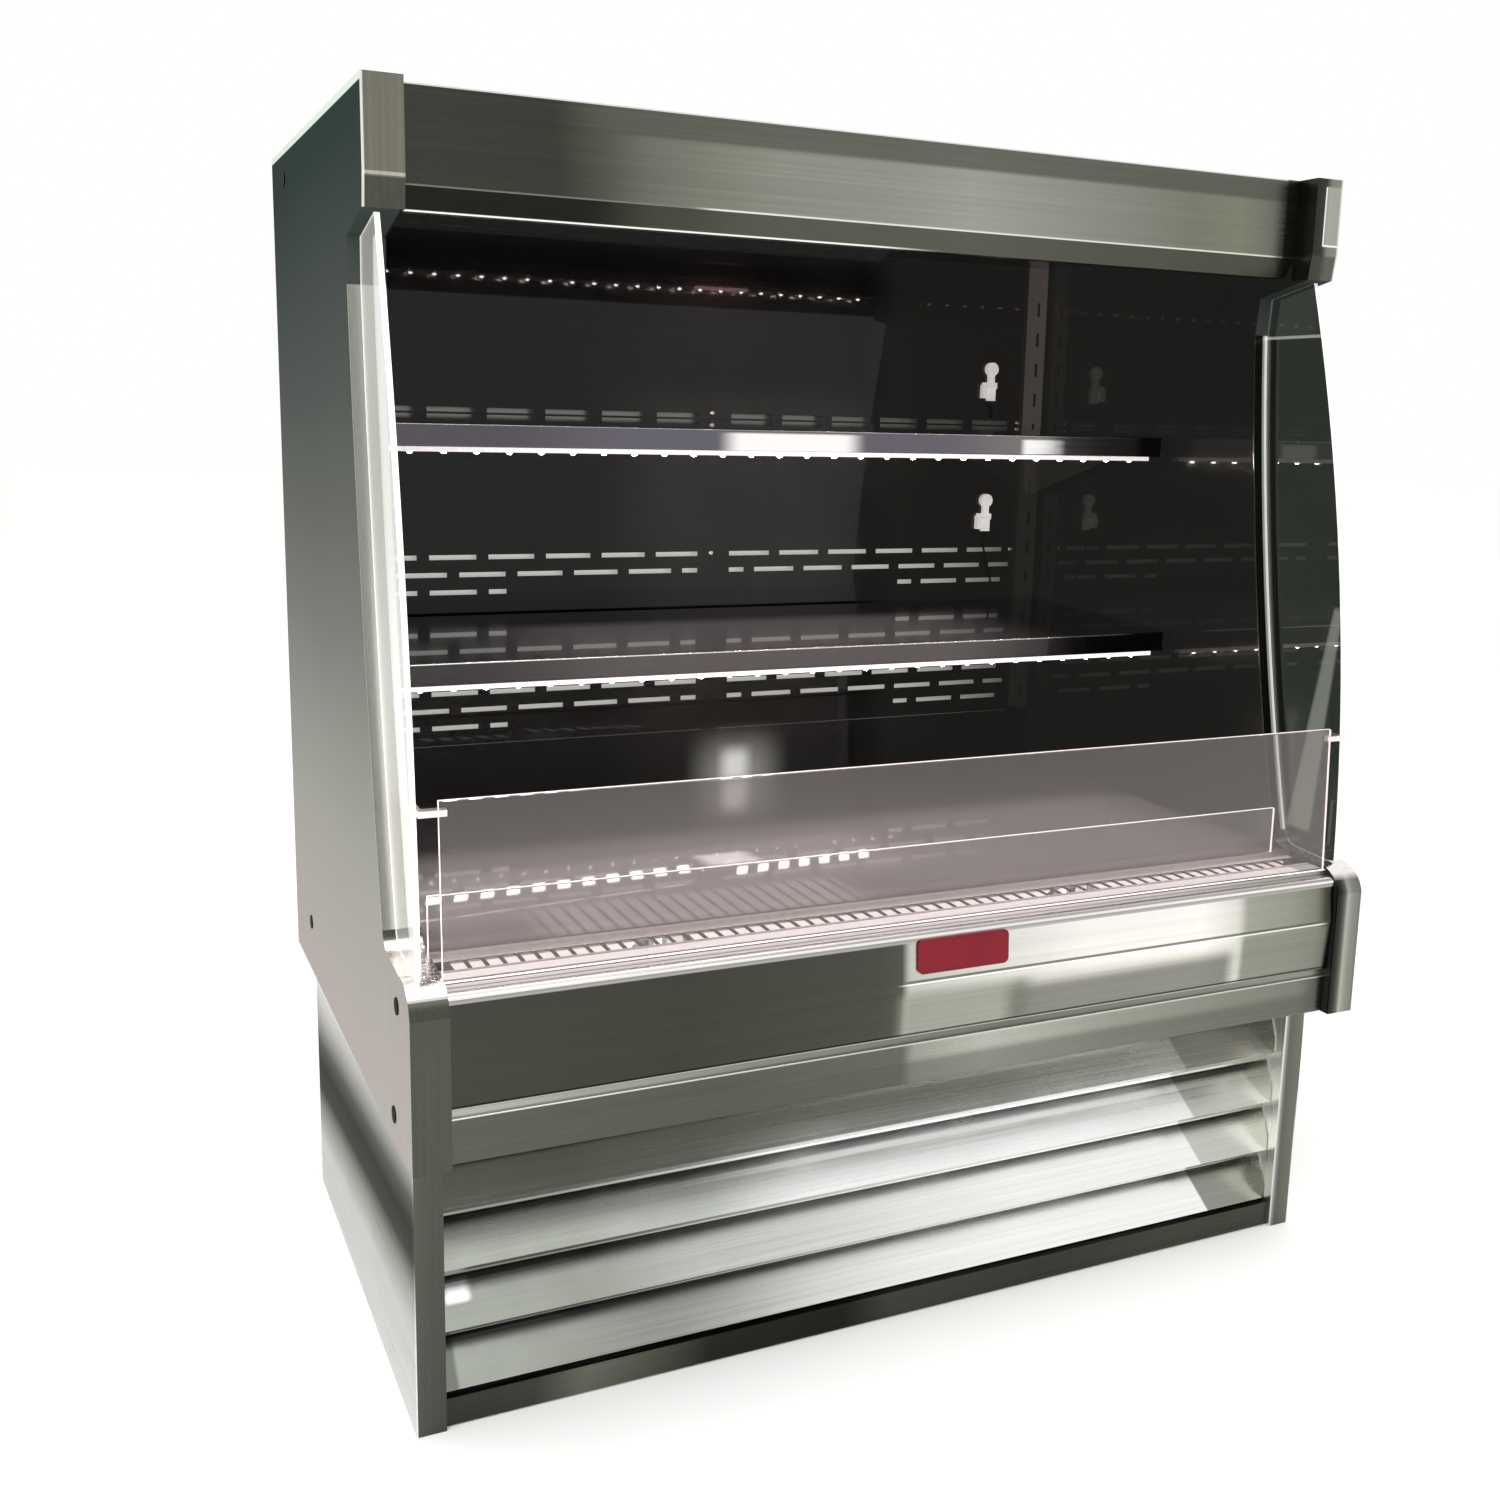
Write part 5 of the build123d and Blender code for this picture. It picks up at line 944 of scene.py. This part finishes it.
class FRIDGE_OT_machinery(bpy.types.Operator):
    """Compressor, coils, fans, pipes, pans, controls and plugs"""
    bl_idname = "fridge.machinery"
    bl_label = "Machinery"

    def execute(self, context):
        dress(plain("black_enamel", "101010", 0.28, speckle=0.2, size=90.0, bump=0.1), "compressor")
        dress(plain("mount_rubber", "161616", 0.8), "compressor_mounts", "lamp_leads")
        fins = steel("fin_aluminium", [(-0.6, "b9bbbc"), (0.6, "c8cacb")], "Z", 0.4)
        dress(fins, "condenser_coil", "evaporator_coil")
        dress(plain("zinc_coat", "a3a7a8", 0.45, 0.9, 0.18, 26.0, 0.1), "rear_grille", "machine_tray",
              "condenser_shroud", "condensate_pan", "control_box")
        # painted glow of the lamps on the fan plate, the fans and their motors
        dress(glowing("lit_plate", "f6eeee", 1.1, "f0eae6"), "evaporator_fan_plate")
        dress(glowing("lit_fan", "f6eeee", 0.9, "dedad7"), "evaporator_fan_left", "evaporator_fan_right",
              "evaporator_motors")
        dress(plain("motor_enamel", "3a3b3d", 0.5), "condenser_motor")
        dress(plain("copper_tube", "b5693f", 0.3, 1.0, 0.2, 60.0, 0.05), "refrigerant_lines")
        dress(plain("white_plastic", "e4e1dd", 0.4), "drain_pipe")
        # painted glow of the lamps on the sockets
        dress(glowing("lit_plastic", "f6f2ee", 0.4, "e4e1dd"), "lamp_sockets")
        plug = plain("plug_plastic", "0c0c0c", 0.6)
        plug.give("Specular IOR Level", 0.05)
        dress(plug, "end_plugs")
        dress(plain("black_plastic", "131313", 0.42), "condenser_fan", "thermostat_knob", "light_switch")
        return {"FINISHED"}


# --- trim --------------------------------------------------------

BADGE_X = 16.5 * MM
BADGE_Z = 515.5 * MM
BADGE_PROUD = 0.3 * MM        # from the panel's foremost line to its middle
BADGE_LEAN = -3.5             # degrees, with the panel
MIDDLE_SCREWS = ((-0.0055, 1.147), (-0.0045, 0.929))      # X and Z on the back wall
RIGHT_SCREWS = ((0.5575, 1.143), (0.5555, 0.928))         # mirrored on the left
SCREW_PROUD = 0.8 * MM        # from the wall to a head's middle


class FRIDGE_OT_badge(bpy.types.Operator):
    """Bare enamelled plate on the front"""
    bl_idname = "fridge.badge"
    bl_label = "Badge plate"

    def execute(self, context):
        sizes = context.scene.fridge_sizes
        deep = sizes.badge_deep
        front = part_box("front_panel")[0].y
        plate = block((BADGE_X, front - BADGE_PROUD, BADGE_Z), (sizes.badge_wide, deep, sizes.badge_high))
        pick_edges(plate, lambda a, b: abs(a.y - b.y) > deep * 0.5)
        bpy.ops.mesh.bevel(offset=sizes.badge_corner, segments=6)
        pick_faces(plate, lambda normal: normal.y < -0.9)
        groove(2.2 * MM, 0.5 * MM, 0.7 * MM)
        bpy.ops.object.mode_set(mode="OBJECT")
        plate.rotation_euler = (math.radians(BADGE_LEAN), 0, 0)
        enamel = plain("badge_enamel", context.scene.fridge_colours.enamel, 0.3, 0.0, 0.15, 40.0, 0.03)
        enamel.give("Specular IOR Level", 0.2)
        settle(plate, "badge_plate", enamel, "cabinet")
        return {"FINISHED"}


class FRIDGE_OT_screws(bpy.types.Operator):
    """Screw heads inside the case"""
    bl_idname = "fridge.screws"
    bl_label = "Screws"

    def execute(self, context):
        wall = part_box("rear_duct_panel")[0].y - SCREW_PROUD
        head = turned(screw_head(context.scene.fridge_sizes.screw_radius), (0, -1, 0))
        places = [*MIDDLE_SCREWS, *RIGHT_SCREWS, *((-x, z) for x, z in RIGHT_SCREWS)]
        heads = copies(head, [(x, wall, z) for x, z in places])
        settle(heads, "wall_screws", plain("screw_steel", "cfcac6", 0.2, 1.0, 0.1, 100.0, 0.02), "cabinet")
        return {"FINISHED"}


# --- stage -------------------------------------------------------

CAMERA_PLACE = (-307.7, -1544.6, 1142.4)      # from the left front corner, millimetres
CAMERA_ANGLES = (-25.379, -10.493, -1.404)    # yaw, pitch and roll in degrees
CAMERA_FOCAL = 1576.56                        # pixels
CAMERA_MIDDLE = (792.24, 710.13)              # pixel that the optical axis meets
PHOTO = 1500.0                                # pixels
SENSOR = 36.0                                 # millimetres
FLOOR_SIZE = 60                               # metres
WHITE = (1, 1, 1), 1.0                        # linear colour and strength
DAYLIGHT = (1, 0.995, 0.985), 1.05
STUDIO_LAMPS = {"overhead": ((-0.6, -1.2, 4.4), 4.5, 110),      # place, width in metres and power in watts
                "key": ((-3.4, -3.0, 2.6), 2.0, 30)}
LAMPS_AIM = Vector((0, 0, 0.7))


class FRIDGE_OT_stage(bpy.types.Operator):
    """Floor, light and camera"""
    bl_idname = "fridge.stage"
    bl_label = "Stage"

    def execute(self, context):
        self.camera(context)
        self.floor(context)
        self.world(context)
        self.lights(context)
        context.scene.view_settings.view_transform = "Standard"
        return {"FINISHED"}

    def camera(self, context):
        """Camera where the photograph was taken from."""
        yaw, pitch, roll = (math.radians(a) for a in CAMERA_ANGLES)
        turn = Matrix.Rotation(yaw, 3, "Z") @ Matrix.Rotation(pitch, 3, "X") @ Matrix.Rotation(roll, 3, "Y")
        axes = Matrix((turn.col[0], turn.col[2], -turn.col[1])).transposed()
        corner = Vector((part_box("end_panel_left")[0].x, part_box("end_trim_left")[0].y, 0))
        place = Vector(CAMERA_PLACE) * MM + corner
        data = bpy.data.cameras.new("photo_camera")
        data.sensor_width = SENSOR
        data.lens = SENSOR * CAMERA_FOCAL / PHOTO
        data.shift_x = (PHOTO / 2 - CAMERA_MIDDLE[0]) / PHOTO
        data.shift_y = (CAMERA_MIDDLE[1] - PHOTO / 2) / PHOTO
        data.clip_end = 100
        camera = bpy.data.objects.new("photo_camera", data)
        context.scene.collection.objects.link(camera)
        camera.matrix_world = Matrix.Translation(place) @ axes.to_4x4()
        context.scene.camera = camera

    def floor(self, context):
        """Pale painted floor."""
        clear_selection()
        bpy.ops.mesh.primitive_plane_add(size=FLOOR_SIZE, location=(0, 0, 0))
        floor = bpy.context.object
        floor.name = "floor"
        f = Finish("floor_paint", 0.8)
        speck = f.spread(f.noise(12.0, 5.0), 0.3, 0.7, 0.0, 0.05)
        colour = context.scene.fridge_colours.floor
        f.give("Base Color", f.blend(speck, tone(colour), dimmed(colour, 0.95)))
        floor.data.materials.append(f.material)

    def world(self, context):
        """White to the camera, in mirrors and through glass, and daylight on everything."""
        world = bpy.data.worlds.new("studio")
        context.scene.world = world
        world.use_nodes = True
        nodes, links = world.node_tree.nodes, world.node_tree.links
        nodes.clear()
        path = nodes.new("ShaderNodeLightPath")
        seen = path.outputs["Is Camera Ray"]
        for ray in ("Is Glossy Ray", "Is Transmission Ray"):
            either = nodes.new("ShaderNodeMath")
            either.operation = "MAXIMUM"
            links.new(seen, either.inputs[0])
            links.new(path.outputs[ray], either.inputs[1])
            seen = either.outputs[0]
        mix = nodes.new("ShaderNodeMixShader")
        links.new(seen, mix.inputs["Fac"])
        for side, (colour, strength) in enumerate((DAYLIGHT, WHITE), 1):
            background = nodes.new("ShaderNodeBackground")
            background.inputs["Color"].default_value = (*colour, 1)
            background.inputs["Strength"].default_value = strength
            links.new(background.outputs[0], mix.inputs[side])
        links.new(mix.outputs[0], nodes.new("ShaderNodeOutputWorld").inputs["Surface"])

    def lights(self, context):
        """Two soft lamps."""
        for name, (place, size, power) in STUDIO_LAMPS.items():
            data = bpy.data.lights.new(name, "AREA")
            data.shape = "SQUARE"
            data.size = size
            data.energy = power
            lamp = bpy.data.objects.new(name, data)
            context.scene.collection.objects.link(lamp)
            lamp.location = place
            lamp.rotation_euler = (LAMPS_AIM - Vector(place)).to_track_quat("-Z", "Y").to_euler()


class FRIDGE_PT_panel(bpy.types.Panel):
    """Lists the finishing steps"""
    bl_idname = "FRIDGE_PT_panel"
    bl_label = "Display fridge"
    bl_space_type = "VIEW_3D"
    bl_region_type = "UI"
    bl_category = "Display fridge"

    def draw(self, context):
        column = self.layout.column()
        for group in (context.scene.fridge_sizes, context.scene.fridge_colours):
            for name in group.__annotations__:
                column.prop(group, name)
        for step in STEPS:
            column.operator(step.bl_idname)


STEPS = (FRIDGE_OT_stage, FRIDGE_OT_outer_steel, FRIDGE_OT_lining, FRIDGE_OT_glass, FRIDGE_OT_lamps,
         FRIDGE_OT_machinery, FRIDGE_OT_badge, FRIDGE_OT_screws)
CLASSES = (FridgeColours, FridgeSizes, *STEPS, FRIDGE_PT_panel)


def register():
    for item in CLASSES:
        bpy.utils.register_class(item)
    bpy.types.Scene.fridge_colours = PointerProperty(type=FridgeColours)
    bpy.types.Scene.fridge_sizes = PointerProperty(type=FridgeSizes)


def unregister():
    del bpy.types.Scene.fridge_sizes
    del bpy.types.Scene.fridge_colours
    for item in reversed(CLASSES):
        bpy.utils.unregister_class(item)


def main():
    register()
    for step in STEPS:
        group, name = step.bl_idname.split(".")
        getattr(getattr(bpy.ops, group), name)()


if __name__ == "__main__":
    main()
